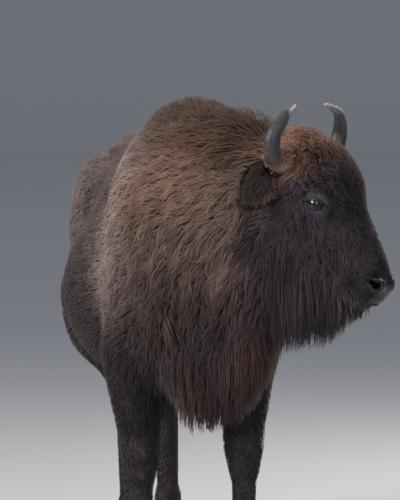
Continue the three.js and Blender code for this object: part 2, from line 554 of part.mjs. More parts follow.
for (const [name, m] of Object.entries(ears)) put(name, m, materials.ear);
for (const [name, m] of Object.entries(horns)) put(name, m, materials.horn);
for (const [name, m] of Object.entries(eyes)) put(name, m, materials.eye);
for (const [name, m] of Object.entries(claws)) put(name, m, materials.claw);

// the origin is under the middle of the animal's box, on the floor
const box = new THREE.Box3().setFromObject(wisent);
wisent.position.set(-(box.min.x + box.max.x) / 2, -(box.min.y + box.max.y) / 2, -box.min.z);
wisent.updateMatrixWorld(true);

export default wisent;
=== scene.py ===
# A wisent cow in winter coat. The body is one blended distance field, as in the CAD model:
# the skin is its inner surface, less the coat's depth, and the coat's tufts grow from the
# skin out to the CAD surface. Lengths in this file are millimetres in the animal's own
# frame (+X ahead, +Y left, +Z up) until a mesh is made, which is in metres in the row's.
import bpy, bmesh, json, math, time
import numpy as np
from math import sin, cos, radians, pi
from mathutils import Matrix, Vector

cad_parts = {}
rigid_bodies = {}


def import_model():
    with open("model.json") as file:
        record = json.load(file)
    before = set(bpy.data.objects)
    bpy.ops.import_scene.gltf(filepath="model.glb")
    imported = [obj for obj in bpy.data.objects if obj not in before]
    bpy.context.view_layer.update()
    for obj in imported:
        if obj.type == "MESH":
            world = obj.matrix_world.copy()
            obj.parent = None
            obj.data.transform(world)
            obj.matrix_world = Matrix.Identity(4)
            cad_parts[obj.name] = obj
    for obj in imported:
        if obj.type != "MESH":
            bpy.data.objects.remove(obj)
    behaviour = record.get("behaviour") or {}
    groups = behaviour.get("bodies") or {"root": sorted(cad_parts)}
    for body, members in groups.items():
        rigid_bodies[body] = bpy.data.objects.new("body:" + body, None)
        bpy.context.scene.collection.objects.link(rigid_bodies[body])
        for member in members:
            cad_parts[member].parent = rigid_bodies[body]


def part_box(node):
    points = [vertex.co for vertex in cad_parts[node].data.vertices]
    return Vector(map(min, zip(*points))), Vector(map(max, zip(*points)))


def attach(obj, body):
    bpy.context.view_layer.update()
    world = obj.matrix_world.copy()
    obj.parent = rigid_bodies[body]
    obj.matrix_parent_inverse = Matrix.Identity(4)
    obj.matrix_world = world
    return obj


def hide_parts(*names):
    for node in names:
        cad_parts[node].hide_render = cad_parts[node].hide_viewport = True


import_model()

T0 = time.time()
for ob in list(bpy.data.objects):                                 # the factory scene's own things
    if ob.name in ("Cube", "Light", "Camera"):
        bpy.data.objects.remove(ob)
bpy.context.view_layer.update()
rng = np.random.default_rng(7)
def note(*a):
    print("[%5.1f s]" % (time.time() - T0), *a)

# ------------------------------------------------------------------ named sizes
HEAD_YAW, HEAD_PITCH = 46.0, 50.0
HEAD_AT = np.array([464.0, 250.0, 1432.0])      # middle between the horn bases
FORE = {1: (-50, 166), -1: (10, -200)}          # feet: +1 left, -1 right
HIND = {1: (-1200, 138), -1: (-920, -54)}
KNEE, FORE_FETLOCK, HOCK, HIND_FETLOCK = 410, 132, 540, 134
EYE_R = 26.0
UPV = np.array([0, 0, 1.0])
AHEAD = np.array([cos(radians(HEAD_YAW)), sin(radians(HEAD_YAW)), 0])
LEFT = np.array([-sin(radians(HEAD_YAW)), cos(radians(HEAD_YAW)), 0])
DOWN_FACE = AHEAD * cos(radians(HEAD_PITCH)) - UPV * sin(radians(HEAD_PITCH))
OUT_FACE = AHEAD * sin(radians(HEAD_PITCH)) + UPV * cos(radians(HEAD_PITCH))
HEAD_AXES = np.stack([DOWN_FACE, OUT_FACE, LEFT])
BODY_AXES = np.array([[1.0, 0, 0], [0, 0, 1], [0, 1, 0]])
def head(a, d, l):
    return HEAD_AT + a * DOWN_FACE + d * OUT_FACE + l * LEFT
def tipped(deg):
    c, s = cos(radians(deg)), sin(radians(deg))
    return np.array([[c, 0, -s], [s, 0, c], [0, 1, 0]])
def unit(v):
    v = np.asarray(v, float)
    return v / np.maximum(np.linalg.norm(v, axis=-1, keepdims=True), 1e-9)
def eye_at(s):
    return head(183, 2, 125 * s)
_lo, _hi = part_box("eye_left")
SHIFT = (np.array(_lo) + np.array(_hi)) * 500 - eye_at(1)       # animal's frame to the row's
def world(P):
    return (np.asarray(P) + SHIFT) / 1000

# ------------------------------------------------------------------ masses: shape, blend, coat depth, zone
PRIMS = []
def blob(zone, c, r, k, coat, axes=BODY_AXES):
    PRIMS.append(dict(zone=zone, c=np.array(c, float), r=np.array(r, float), k=k, coat=coat, axes=axes, hair=False))
def pair(zone, c, r, k, coat, axes=BODY_AXES):
    blob(zone, c, r, k, coat, axes)
    blob(zone, (c[0], -c[1], c[2]), r, k, coat, axes)
def limb(zone, a, b, ra, rb, k, coat, flat=None, hair=False):
    a, b = np.array(a, float), np.array(b, float)
    p = dict(zone=zone, a=a, b=b, ra=ra, rb=rb, k=k, coat=coat, hair=hair, n=None)
    if flat is not None:
        n = unit(flat[0]); p["n"] = n; p["st"] = 1 / flat[1] - 1
        p["b"] = b + n * ((b - a) @ n) * p["st"]
    PRIMS.append(p)
# trunk
blob("side", (-330, 0, 1005), (540, 392, 334), 120, 34)
blob("side", (-600, 0, 930), (450, 326, 346), 120, 30)
blob("chest", (60, -4, 960), (315, 375, 256), 120, 50)
blob("hump", (-110, 0, 1272), (395, 352, 203), 120, 55)
pair("shoulder", (-50, 135, 1130), (225, 370, 148), 100, 48, tipped(-14))
blob("shoulder", (-10, 160, 880), (205, 250, 110), 90, 42)
blob("shoulder", (0, -182, 880), (205, 250, 115), 90, 42)
limb("side", (-400, 0, 1260), (-930, 0, 1240), 211, 192, 110, 32)
blob("rump", (-1070, 0, 1175), (255, 270, 208), 100, 24)
pair("rump", (-985, 132, 1282), (175, 105, 98), 70, 22)
pair("rump", (-1070, 122, 1010), (238, 330, 124), 80, 24, tipped(8))
pair("side", (-850, 158, 880), (200, 190, 125), 90, 28)
blob("rump", (-1000, 0, 1392), (250, 88, 62), 60, 22)
# neck, crest and brisket
NECK_FLAT = (-0.42, 0.907, 0)
limb("neck", (130, 15, 1180), (400, 205, 1285), 300, 200, 120, 75, (NECK_FLAT, 0.82))
limb("crest", (-40, 0, 1425), (230, 95, 1440), 160, 140, 90, 80)
limb("crest", (230, 95, 1440), (385, 195, 1400), 140, 115, 70, 80)
limb("throat", (170, 40, 900), (395, 190, 1090), 215, 150, 110, 80, (NECK_FLAT, 0.8))
limb("mane", (215, 35, 740), (215, 45, 590), 125, 70, 70, 70, hair=True)
limb("mane", (232, -62, 770), (228, -48, 582), 100, 64, 70, 70, hair=True)
limb("mane", (330, 130, 900), (240, 55, 700), 118, 98, 70, 70, hair=True)
# head
blob("crown", head(70, -20, 0), (160, 122, 138), 60, 45, HEAD_AXES)
blob("crown", head(-14, 8, 0), (88, 86, 118), 50, 50, HEAD_AXES)
blob("forelock", head(90, 54, 0), (120, 64, 114), 50, 56, HEAD_AXES)
limb("face", head(160, -42, 0), head(402, -46, 0), 130, 80, 60, 19)
blob("muzzle", head(472, -70, 0), (68, 62, 73), 36, 6, HEAD_AXES)
blob("chin", head(458, -124, 0), (64, 44, 50), 30, 14, HEAD_AXES)
limb("jaw", head(110, -190, 0), head(425, -122, 0), 100, 56, 60, 30)
for s in (-1, 1):
    blob("cheek", head(130, -115, 74 * s), (140, 125, 72), 60, 32, HEAD_AXES)
    blob("cheek", head(235, -150, 56 * s), (150, 92, 64), 60, 34, HEAD_AXES)
    blob("lid", head(178, 0, 106 * s), (60, 48, 44), 40, 11, HEAD_AXES)
    blob("muzzle", head(489, -32, 32 * s), (30, 28, 31), 30, 6, HEAD_AXES)
    blob("crown", head(-5, 0, 125 * s), (48, 48, 60), 40, 22, HEAD_AXES)
limb("beard", (555, 343, 1015), (464, 250, 936), 88, 100, 60, 60, hair=True)
limb("beard", (464, 250, 936), (385, 170, 960), 100, 110, 80, 70, hair=True)
# legs
for s, (x, y) in ((1, FORE[1]), (-1, FORE[-1])):
    limb("thigh", (x - 45, y + 10 * s, 760), (x - 5, y, KNEE + 40), 126, 74, 60, 26)
    limb("shank", (x, y, KNEE + 30), (x + 4, y, KNEE - 35), 68, 60, 30, 11)
    limb("shank", (x + 4, y, KNEE - 35), (x + 6, y, FORE_FETLOCK + 18), 48, 42, 20, 8)
    limb("shank", (x + 4, y, FORE_FETLOCK + 8), (x + 2, y, FORE_FETLOCK - 7), 52, 50, 20, 9)
    limb("shank", (x + 8, y, FORE_FETLOCK - 12), (x + 36, y, 82), 46, 47, 20, 8)
for s, (x, y) in ((1, HIND[1]), (-1, HIND[-1])):
    hip, stifle = s * max(abs(y), 122), x + 190 - (x + 1200) * 0.45
    limb("thigh", (-935, hip + 24 * s, 900), (stifle, hip + 16 * s, 790), 146, 122, 90, 24)
    limb("thigh", (stifle - 10, hip + 18 * s, 800), (x - 8, y, HOCK + 30), 128, 70, 70, 22)
    limb("thigh", (x - 20 + (-1200 - x) * 0.5, hip, 900), (x - 24, y, HOCK + 60), 95, 46, 60, 20)
    limb("shank", (x - 20, y, HOCK + 18), (x - 24, y, HOCK - 60), 64, 55, 36, 11)
    limb("shank", (x - 22, y, HOCK - 60), (x + 16, y, HIND_FETLOCK + 16), 50, 43, 20, 8)
    limb("shank", (x + 14, y, HIND_FETLOCK + 8), (x + 10, y, HIND_FETLOCK - 8), 53, 50, 20, 9)
    limb("shank", (x + 18, y, HIND_FETLOCK - 14), (x + 48, y, 82), 46, 47, 20, 8)
N_BODY = len(PRIMS)
# tail, a field of its own that is joined to the body's with a plain minimum blend
limb("tail", (-1262, 0, 1336), (-1352, 0, 1235), 66, 42, 40, 15)
limb("tail", (-1352, 0, 1235), (-1378, 0, 1120), 40, 34, 30, 13)
limb("tail", (-1378, 0, 1120), (-1376, 0, 800), 34, 30, 20, 13)
limb("tailtuft", (-1376, 0, 790), (-1370, 0, 590), 42, 34, 30, 22)
ZONES = ["side", "rump", "shoulder", "chest", "hump", "neck", "crest", "throat", "mane", "crown", "forelock", "face",
         "muzzle", "chin", "jaw", "cheek", "lid", "beard", "thigh", "shank", "tail", "tailtuft"]

def prim_distance(p, P, grow=0.0):
    if "c" in p:
        q = (P - p["c"]) @ p["axes"].T
        r = np.maximum(p["r"] + grow, 5)
        k0 = np.sqrt(((q / r) ** 2).sum(-1)) + 1e-9
        k1 = np.sqrt(((q / (r * r)) ** 2).sum(-1)) + 1e-12
        return k0 * (k0 - 1) / k1
    a, ra, rb = p["a"], max(p["ra"] + grow, 3), max(p["rb"] + grow, 3)
    q = P - a
    if p["n"] is not None:
        q = q + (q @ p["n"] * p["st"])[:, None] * p["n"]
    ba = p["b"] - a
    l2 = ba @ ba
    rr = ra - rb
    a2 = l2 - rr * rr
    y = q @ ba
    z = y - l2
    qq = (q * q).sum(-1)
    x2 = np.maximum(qq * l2 - y * y, 0) * l2          # |q l2 - ba y|^2
    y2, z2 = y * y * l2, z * z * l2
    k = np.sign(rr) * rr * rr * x2
    d = (np.sqrt(np.maximum(x2 * a2 / l2, 0)) + y * rr) / l2 - ra
    c1 = np.sign(z) * a2 * z2 > k
    c2 = np.sign(y) * a2 * y2 < k
    return np.where(c1, np.sqrt(x2 + z2) / l2 - rb, np.where(c2, np.sqrt(x2 + y2) / l2 - ra, d))
def smooth_min(out, d, k):
    h = np.maximum(k - np.abs(out - d), 0) / k
    return np.minimum(out, d) - h * h * k / 4
def field(P, flesh=False, upto=None):
    """distance to the coat's outside, or to the skin; P is (n, 3)"""
    P = np.asarray(P, float)
    body, tail = np.full(len(P), 1e4), np.full(len(P), 1e4)
    for i, p in enumerate(PRIMS):
        if flesh and p["hair"]:
            continue
        d = prim_distance(p, P, -p["coat"] if flesh else 0.0)
        k = p["k"] * (0.9 if flesh else 1.0)
        if i < N_BODY:
            body = smooth_min(body, d, k)
        else:
            tail = smooth_min(tail, d, k)
    return smooth_min(body, tail, 24 if flesh else 10)
def zone_weights(P):
    """how much each zone claims a point, from how near its masses are"""
    D = {z: np.full(len(P), 1e4) for z in ZONES}
    for p in PRIMS:
        D[p["zone"]] = np.minimum(D[p["zone"]], prim_distance(p, P, 0.0))
    M = np.stack([D[z] for z in ZONES], -1)
    W = np.exp(-(M - M.min(-1, keepdims=True)) / 16.0)
    return W / W.sum(-1, keepdims=True)

# ------------------------------------------------------------------ grids and surface nets
def banded(f, lo, hi, h, step=4):
    """values of f on a grid, exact near its surface and coarse away from it"""
    lo, hi = np.array(lo, float), np.array(hi, float)
    n = np.ceil((hi - lo) / h).astype(int) + 1
    cn = np.ceil(n / step).astype(int) + 1
    g = np.stack(np.meshgrid(*[lo[i] + (np.arange(cn[i]) * step + (step - 1) / 2) * h for i in range(3)], indexing="ij"), -1)
    cv = f(g.reshape(-1, 3)).reshape(cn)
    full = np.repeat(np.repeat(np.repeat(cv, step, 0), step, 1), step, 2)[:n[0], :n[1], :n[2]].astype(np.float64)
    near = np.abs(full) < step * h * 1.35
    full[near] = f(lo + np.argwhere(near) * h)
    return full, lo, h
def surface_nets(val, lo, h):
    ins = val < 0
    c = [(i, j, k) for i in (0, 1) for j in (0, 1) for k in (0, 1)]
    n = np.array(val.shape) - 1
    cnt = np.zeros(n, np.int8)
    for i, j, k in c:
        cnt += ins[i:i + n[0], j:j + n[1], k:k + n[2]]
    cells = np.argwhere((cnt > 0) & (cnt < 8))
    idx = np.full(n, -1, np.int64)
    idx[tuple(cells.T)] = np.arange(len(cells))
    V, m = np.zeros((len(cells), 3)), np.zeros(len(cells))
    for a in c:
        for ax in range(3):
            if a[ax]:
                continue
            b = list(a); b[ax] = 1
            va = val[tuple((cells + a).T)]; vb = val[tuple((cells + b).T)]
            cr = (va < 0) != (vb < 0)
            t = np.where(cr, va / np.where(va == vb, 1, va - vb), 0)
            pt = np.array(a, float)[None] + t[:, None] * (np.array(b, float) - a)
            V += pt * cr[:, None]; m += cr
    V = (cells + V / m[:, None]) * h + lo
    quads = []
    for ax in range(3):
        u, w = (ax + 1) % 3, (ax + 2) % 3
        A = ins.take(range(0, ins.shape[ax] - 1), ax); B = ins.take(range(1, ins.shape[ax]), ax)
        e = np.argwhere(A != B)
        e = e[(e[:, u] > 0) & (e[:, w] > 0) & (e[:, u] < n[u]) & (e[:, w] < n[w])]
        du, dw = np.eye(3, dtype=int)[u], np.eye(3, dtype=int)[w]
        q = np.stack([idx[tuple((e - du - dw).T)], idx[tuple((e - dw).T)], idx[tuple(e.T)], idx[tuple((e - du).T)]], -1)
        out = A[tuple(e.T)]
        q[~out] = q[~out][:, ::-1]
        quads.append(q)
    return V, np.concatenate(quads)
class Sampled:
    """a field kept on a grid, read back between the grid's points, with its slope"""
    def __init__(self, full, lo, h):
        self.v, self.lo, self.h = full.astype(np.float32), lo, h
        self.n = np.array(full.shape)
    def __call__(self, P, slope=False):
        q = np.clip((P - self.lo) / self.h, 0, self.n - 1.001)
        i = q.astype(int); f = q - i
        v = self.v
        def at(a, b, c): return v[i[:, 0] + a, i[:, 1] + b, i[:, 2] + c]
        x, y, z = f.T
        c00 = at(0, 0, 0) * (1 - x) + at(1, 0, 0) * x; c10 = at(0, 1, 0) * (1 - x) + at(1, 1, 0) * x
        c01 = at(0, 0, 1) * (1 - x) + at(1, 0, 1) * x; c11 = at(0, 1, 1) * (1 - x) + at(1, 1, 1) * x
        val = (c00 * (1 - y) + c10 * y) * (1 - z) + (c01 * (1 - y) + c11 * y) * z
        if not slope:
            return val
        gx = ((at(1, 0, 0) - at(0, 0, 0)) * (1 - y) + (at(1, 1, 0) - at(0, 1, 0)) * y) * (1 - z) \
            + ((at(1, 0, 1) - at(0, 0, 1)) * (1 - y) + (at(1, 1, 1) - at(0, 1, 1)) * y) * z
        gy = (c10 - c00) * (1 - z) + (c11 - c01) * z
        gz = (c01 * (1 - y) + c11 * y) - (c00 * (1 - y) + c10 * y)
        return val, unit(np.stack([gx, gy, gz], -1))
LO, HI = (-1470, -380, -10), (900, 720, 1680)

# smooth noise, the same each run: a few sine waves in seeded directions
def waves(P, size, seed, octaves=1):
    r = np.random.default_rng(seed)
    out = 0
    for o in range(octaves):
        s = size / 2 ** o
        for _ in range(5):
            d = unit(r.normal(size=3)) * 2 * pi / s * r.uniform(0.7, 1.35)
            out = out + np.sin(P @ d + r.uniform(0, 2 * pi)) / (2.2 * 2 ** o)
    return out
def bell(x, w):
    return np.exp(-(x / w) ** 2)
def ramp(x, a, b):
    t = np.clip((x - a) / (b - a), 0, 1)
    return t * t * (3 - 2 * t)

# ------------------------------------------------------------------ the skin: lids, nostrils, lips and folds on the head
def smax(a, b, k):
    return -smooth_min(-a, -b, k)
EYE_AXES = {}
for s in (1, -1):
    fore = unit(AHEAD - 0.16 * UPV - 0.10 * LEFT * s)
    side = unit(LEFT * s - fore * ((LEFT * s) @ fore))
    over = np.cross(fore, side) * (1 if np.cross(fore, side)[2] > 0 else -1)
    EYE_AXES[s] = np.stack([fore, side, over])
LID_LONG, LID_HIGH = 33.0, 9.8
def eye_coords(P, s):
    """(ahead, outward, up) from the eye's middle, and distance outside the lids' almond opening"""
    q = (P - eye_at(s)) @ EYE_AXES[s].T
    u, v, w = q.T
    w = w + 0.0045 * u * u * np.sign(u) * (u > 0)              # the inner corner runs down a little
    ru = (LID_LONG ** 2 + LID_HIGH ** 2) / (2 * LID_HIGH)
    rd = (LID_LONG ** 2 + (LID_HIGH - 2) ** 2) / (2 * (LID_HIGH - 2))
    lens = np.maximum(np.hypot(u, w + ru - LID_HIGH) - ru, np.hypot(u, w - rd + LID_HIGH - 2) - rd)
    return u, v, w, lens, np.linalg.norm(q, axis=-1)
def head_coords(P):
    return (P - HEAD_AT) @ HEAD_AXES.T
NOSTRIL = (502, -23, 57)
def mouth_line(a):
    return -106 - 0.03 * (a - 460)
def nostril(a, d, l):
    """below nought inside the nostril: a round mouth in front with a slit running back and up"""
    na, nd, nl = a - NOSTRIL[0], d - NOSTRIL[1], l - NOSTRIL[2]
    ball = np.sqrt(((na - 0.2 * nd) / 18) ** 2 + ((nd + 2) / 14) ** 2 + (nl / 22) ** 2)
    slit = np.sqrt(((na + 20) / 22) ** 2 + ((nd - 3 - 0.5 * na) / 7.0) ** 2 + ((nl - 6) / 24) ** 2)
    return smooth_min((ball - 1) * 15, (slit - 1) * 7, 6)
def skin_field(P, f=None):
    f = field(P, True) if f is None else f
    h = head_coords(P)
    near = np.where((h[:, 0] > 60) & (h[:, 0] < 620) & (np.abs(h[:, 2]) < 260) & (h[:, 1] > -260) & (h[:, 1] < 160))[0]
    if not len(near):
        return f
    Q, g = P[near], f[near]
    a, d, l = h[near].T
    for s in (1, -1):
        u, v, w, lens, r = eye_coords(Q, s)
        m = (r < 110) & (v > -30)
        if not m.any():
            continue
        u, v, w, lens, r = u[m], v[m], w[m], lens[m], r[m]
        e = smooth_min(g[m], r - (EYE_R + 4.4), 22)
        out = np.clip(v / 12, 0, 1)
        # folds that run round the opening: lid crease, two folds under the eye, the brow's soft edge
        up = ramp(w, -4, 6); dn = 1 - up
        e = e + out * (4.2 * bell(lens - 9.5, 2.8) * up + 2.6 * bell(lens - 8.5, 2.4) * dn + 2.2 * bell(lens - 17, 3.0)
                       + 1.8 * bell(lens - 26, 3.4) - 2.2 * bell(lens - 3.8, 3.0) - 2.6 * bell(lens - 21, 3.4) * up
                       - 2.4 * bell(lens - 13, 3.2) * dn + 6.5 * bell(lens - 31, 5.5) * up - 8.0 * bell(lens - 45, 9.0) * up
                       + 3.5 * bell(lens - 38, 6.0) * dn)
        e = e + out * 0.5 * np.sin(np.arctan2(w, u) * 23 + lens * 0.4) * bell(lens - 15, 9)
        # the tear groove in front of the eye
        e = e + 2.6 * bell(w + 7 + 0.3 * (u - 30), 4) * ramp(u, 20, 30) * (1 - ramp(u, 44, 62)) * out
        e = np.where(v > -6, np.minimum(e, r - (EYE_R + 2.6)), e)  # the lids stay whole over the ball
        hole = np.maximum(lens, (EYE_R - 1.6) - r)
        hole = np.maximum(hole, -v)
        g[m] = smax(e, -hole, 2.2)
    # nostrils: a round mouth in front and a slit that runs back and up, with a raised rim
    for s in (1, -1):
        hole = nostril(a, d, l * s)
        g = g - 3.6 * bell(hole - 5, 5.5) * (a > 430) * (l * s > 0)
        g = smax(g, -hole, 4)
    # lips, the groove under the nose pad and small creases behind the nostrils
    front = ramp(a, 395, 440)
    g = g + 6.5 * bell(d - mouth_line(a), 4.2) * front
    g = g - 2.0 * bell(d - mouth_line(a) - 11, 6) * front
    g = g + 2.0 * bell(l, 2.0) * (1 - ramp(d, -62, -48)) * ramp(d, -104, -92) * ramp(a, 500, 520)
    g = g + 0.9 * np.sin((a * 0.9 + d * 0.5) * 0.55) * bell(a - 462, 22) * bell(d + 58, 26) * ramp(np.abs(l), 35, 55)
    f = f.copy(); f[near] = g
    return f
def settle(V, f, steps=3, reach=8.0):
    """draws points onto the surface of f"""
    V = V.copy(); e = 0.8
    for k in range(steps):
        v = f(V)
        g = np.stack([f(V + np.eye(3)[i] * e) - v for i in range(3)], -1) / e
        move = g * (-v / np.maximum((g * g).sum(-1), 0.2))[:, None]
        n = np.linalg.norm(move, axis=-1, keepdims=True)
        V += move * np.minimum(1, reach / np.maximum(n, 1e-9))
    return V

# ears: cupped leaves, the CAD's sizes less the coat; also used for the ear's own tufts
EAR_LENGTH, EAR_WIDTH, EAR_THICK, EAR_CUP = 142.0, 98.0, 8.0, 30.0
def ear_frame(s):
    out = LEFT * s
    root = HEAD_AT - 59 * AHEAD + 140 * out - 46 * UPV
    along = unit(out * 0.8 - AHEAD * 0.1 - UPV * 0.6)
    face = AHEAD * 0.85 + out * 0.35 + UPV * 0.25
    face = unit(face - along * (along @ face))
    return root, along, face, np.cross(along, face)
def ear_point(s, t, v, w, grow=0.0):
    """t along, v across from -1 to 1, w front +1 or back -1"""
    root, along, face, side = ear_frame(s)
    t, v = np.asarray(t, float), np.asarray(v, float)
    wide = np.maximum(0.5 * (EAR_WIDTH + grow) * np.sin(pi * np.clip(0.16 + 0.84 * t, 0, 0.985)) ** 0.62, 4)
    cup = EAR_CUP * (1 - 0.35 * t)
    thick = (EAR_THICK + grow * 0.2) * (1 - 0.5 * t)
    edge = np.sqrt(np.clip(1 - v * v * 0.96, 0, 1))
    bend = cup * v * v * wide / (0.5 * EAR_WIDTH) - cup * 0.5 + w * thick * 0.5 * edge + 3.0 * np.sin(v * 5 + 1) * t * (1 - t)
    return root + along * (t * EAR_LENGTH)[..., None] + side * (v * wide)[..., None] + face * bend[..., None]
def ear_mesh(s, nt=22, nv=14):
    t = np.linspace(-0.32, 1.0, nt) ; V, F = [], []
    vv = np.concatenate([np.linspace(-1, 1, nv), np.linspace(1, -1, nv)[1:-1]])
    ww = np.concatenate([np.ones(nv), -np.ones(nv - 2)])
    m = len(vv)
    for a in t:
        V.append(ear_point(s, np.full(m, a), vv, ww))
    V = np.concatenate(V + [V[0].mean(0, keepdims=True), V[-1].mean(0, keepdims=True)])
    for r in range(nt - 1):
        for i in range(m):
            F.append((r * m + i, r * m + (i + 1) % m, (r + 1) * m + (i + 1) % m, (r + 1) * m + i))
    for i in range(m):
        F.append(((i + 1) % m, i, nt * m, ))
        F.append(((nt - 1) * m + i, (nt - 1) * m + (i + 1) % m, nt * m + 1))
    P = V[np.array(F[0])]
    return V, F

CELL = 14.0
full, glo, gh = banded(lambda P: field(P, True), LO, HI, CELL)
note("flesh grid")
V, Q = surface_nets(full, glo, gh)
cfull, clo, ch = banded(lambda P: field(P, False), LO, HI, 15.0)
FLESH, COAT = Sampled(full, glo, gh), Sampled(cfull, clo, ch)
note("coat grid", len(V), len(Q))

# finer faces where the head needs them
bm = bmesh.new()
me = bpy.data.meshes.new("skin")
me.from_pydata(V.tolist(), [], Q.tolist()); bm.from_mesh(me)
def refine(test):
    bm.faces.ensure_lookup_table()
    C = np.array([f.calc_center_median()[:] for f in bm.faces])
    pick = np.where(test(C))[0]
    edges = {e for i in pick for e in bm.faces[i].edges}
    bmesh.ops.subdivide_edges(bm, edges=list(edges), cuts=1, use_grid_fill=True)
def on_head(C):
    h = head_coords(C)
    return (h[:, 0] > -70) & (h[:, 1] > -250) & ((C - HEAD_AT) @ AHEAD > -70) & (np.abs(h[:, 2]) < 230)
def on_face(C):
    h = head_coords(C)
    return on_head(C) & (h[:, 0] > 395)
def around_eye(C, reach=58):
    return np.minimum(*[np.linalg.norm(C - eye_at(s) - LEFT * s * 18, axis=-1) for s in (1, -1)]) < reach
def fine_places(C):
    h = head_coords(C)
    nose = (np.abs(h[:, 0] - NOSTRIL[0]) < 40) & (np.abs(h[:, 1] - NOSTRIL[1]) < 32) & (np.abs(h[:, 2]) > 14)
    lips = (h[:, 0] > 400) & (np.abs(h[:, 1] - mouth_line(h[:, 0])) < 13)
    return nose | lips | around_eye(C, 46)
refine(on_head)
refine(lambda C: on_face(C) | around_eye(C))
refine(fine_places)
bmesh.ops.triangulate(bm, faces=bm.faces[:])
bm.to_mesh(me); bm.free()
n = len(me.vertices)
V = np.empty(n * 3); me.vertices.foreach_get("co", V); V = V.reshape(-1, 3)
T = np.empty(len(me.polygons) * 3, int); me.polygons.foreach_get("vertices", T); T = T.reshape(-1, 3)
note("skin refined", len(V), len(T))
isH = on_head(V) | around_eye(V, 90)
# nostrils and the opening between the lids are first sunk as pits, then drawn onto their walls
NV = FLESH(V, True)[1]
SUNK = np.zeros(len(V), bool)
for s in (1, -1):
    hh = head_coords(V)
    pit = isH & (hh[:, 2] * s > 0) & (nostril(hh[:, 0], hh[:, 1], hh[:, 2] * s) < -0.6)
    for k in range(27):
        ix = np.where(pit)[0]
        if not len(ix):
            break
        V[ix] -= NV[ix] * 1.4
        SUNK[ix] = True
        hh = head_coords(V[ix])
        pit[ix] = nostril(hh[:, 0], hh[:, 1], hh[:, 2] * s) < -0.6
    u, v, w, lens, r = eye_coords(V, s)
    pit = isH & (lens < 0.4) & (v > 0) & (r < 60) & (r > EYE_R - 1.6)
    for k in range(26):
        ix = np.where(pit)[0]
        if not len(ix):
            break
        V[ix] -= EYE_AXES[s][1] * 1.2
        SUNK[ix] = True
        pit[ix] = eye_coords(V[ix], s)[4] > EYE_R - 1.6
edges = np.concatenate([T[:, [0, 1]], T[:, [1, 2]], T[:, [2, 0]]])
edges = edges[SUNK[edges[:, 0]]]
for k in range(4):                                                # pits' walls are smooth
    mean = np.stack([np.bincount(edges[:, 0], V[edges[:, 1], i], len(V)) for i in range(3)], -1) / np.maximum(np.bincount(edges[:, 0], minlength=len(V)), 1)[:, None]
    V[SUNK] += (mean[SUNK] - V[SUNK]) * 0.6
keep = V[SUNK].copy()
V[isH] = settle(V[isH], skin_field, 4, 6)
V[SUNK] = keep
edges = np.concatenate([T[:, [0, 1]], T[:, [1, 2]], T[:, [2, 0]]])
for s in (1, -1):                                                 # smooth lid edges, nowhere nearer the ball than 1.8 mm
    u, v, w, lens, r = eye_coords(V, s)
    rim = isH & ~SUNK & (lens > -1) & (lens < 5) & (v > 0) & (r < 60)
    ed = edges[rim[edges[:, 0]]]
    n_ = np.maximum(np.bincount(ed[:, 0], minlength=len(V)), 1)[:, None]
    for k in range(3):
        mean = np.stack([np.bincount(ed[:, 0], V[ed[:, 1], i], len(V)) for i in range(3)], -1) / n_
        V[rim] += (mean[rim] - V[rim]) * 0.5
        away = V[rim] - eye_at(s)
        ra = np.linalg.norm(away, axis=-1, keepdims=True)
        V[rim] = eye_at(s) + away / ra * np.maximum(ra, EYE_R + 1.8)
PIT = np.clip(-field(V, True), 0, 40) * isH                       # how deep in a nostril or behind a lid
V[~isH] = settle(V[~isH], lambda P: field(P, True), 1, 8)
note("skin settled")

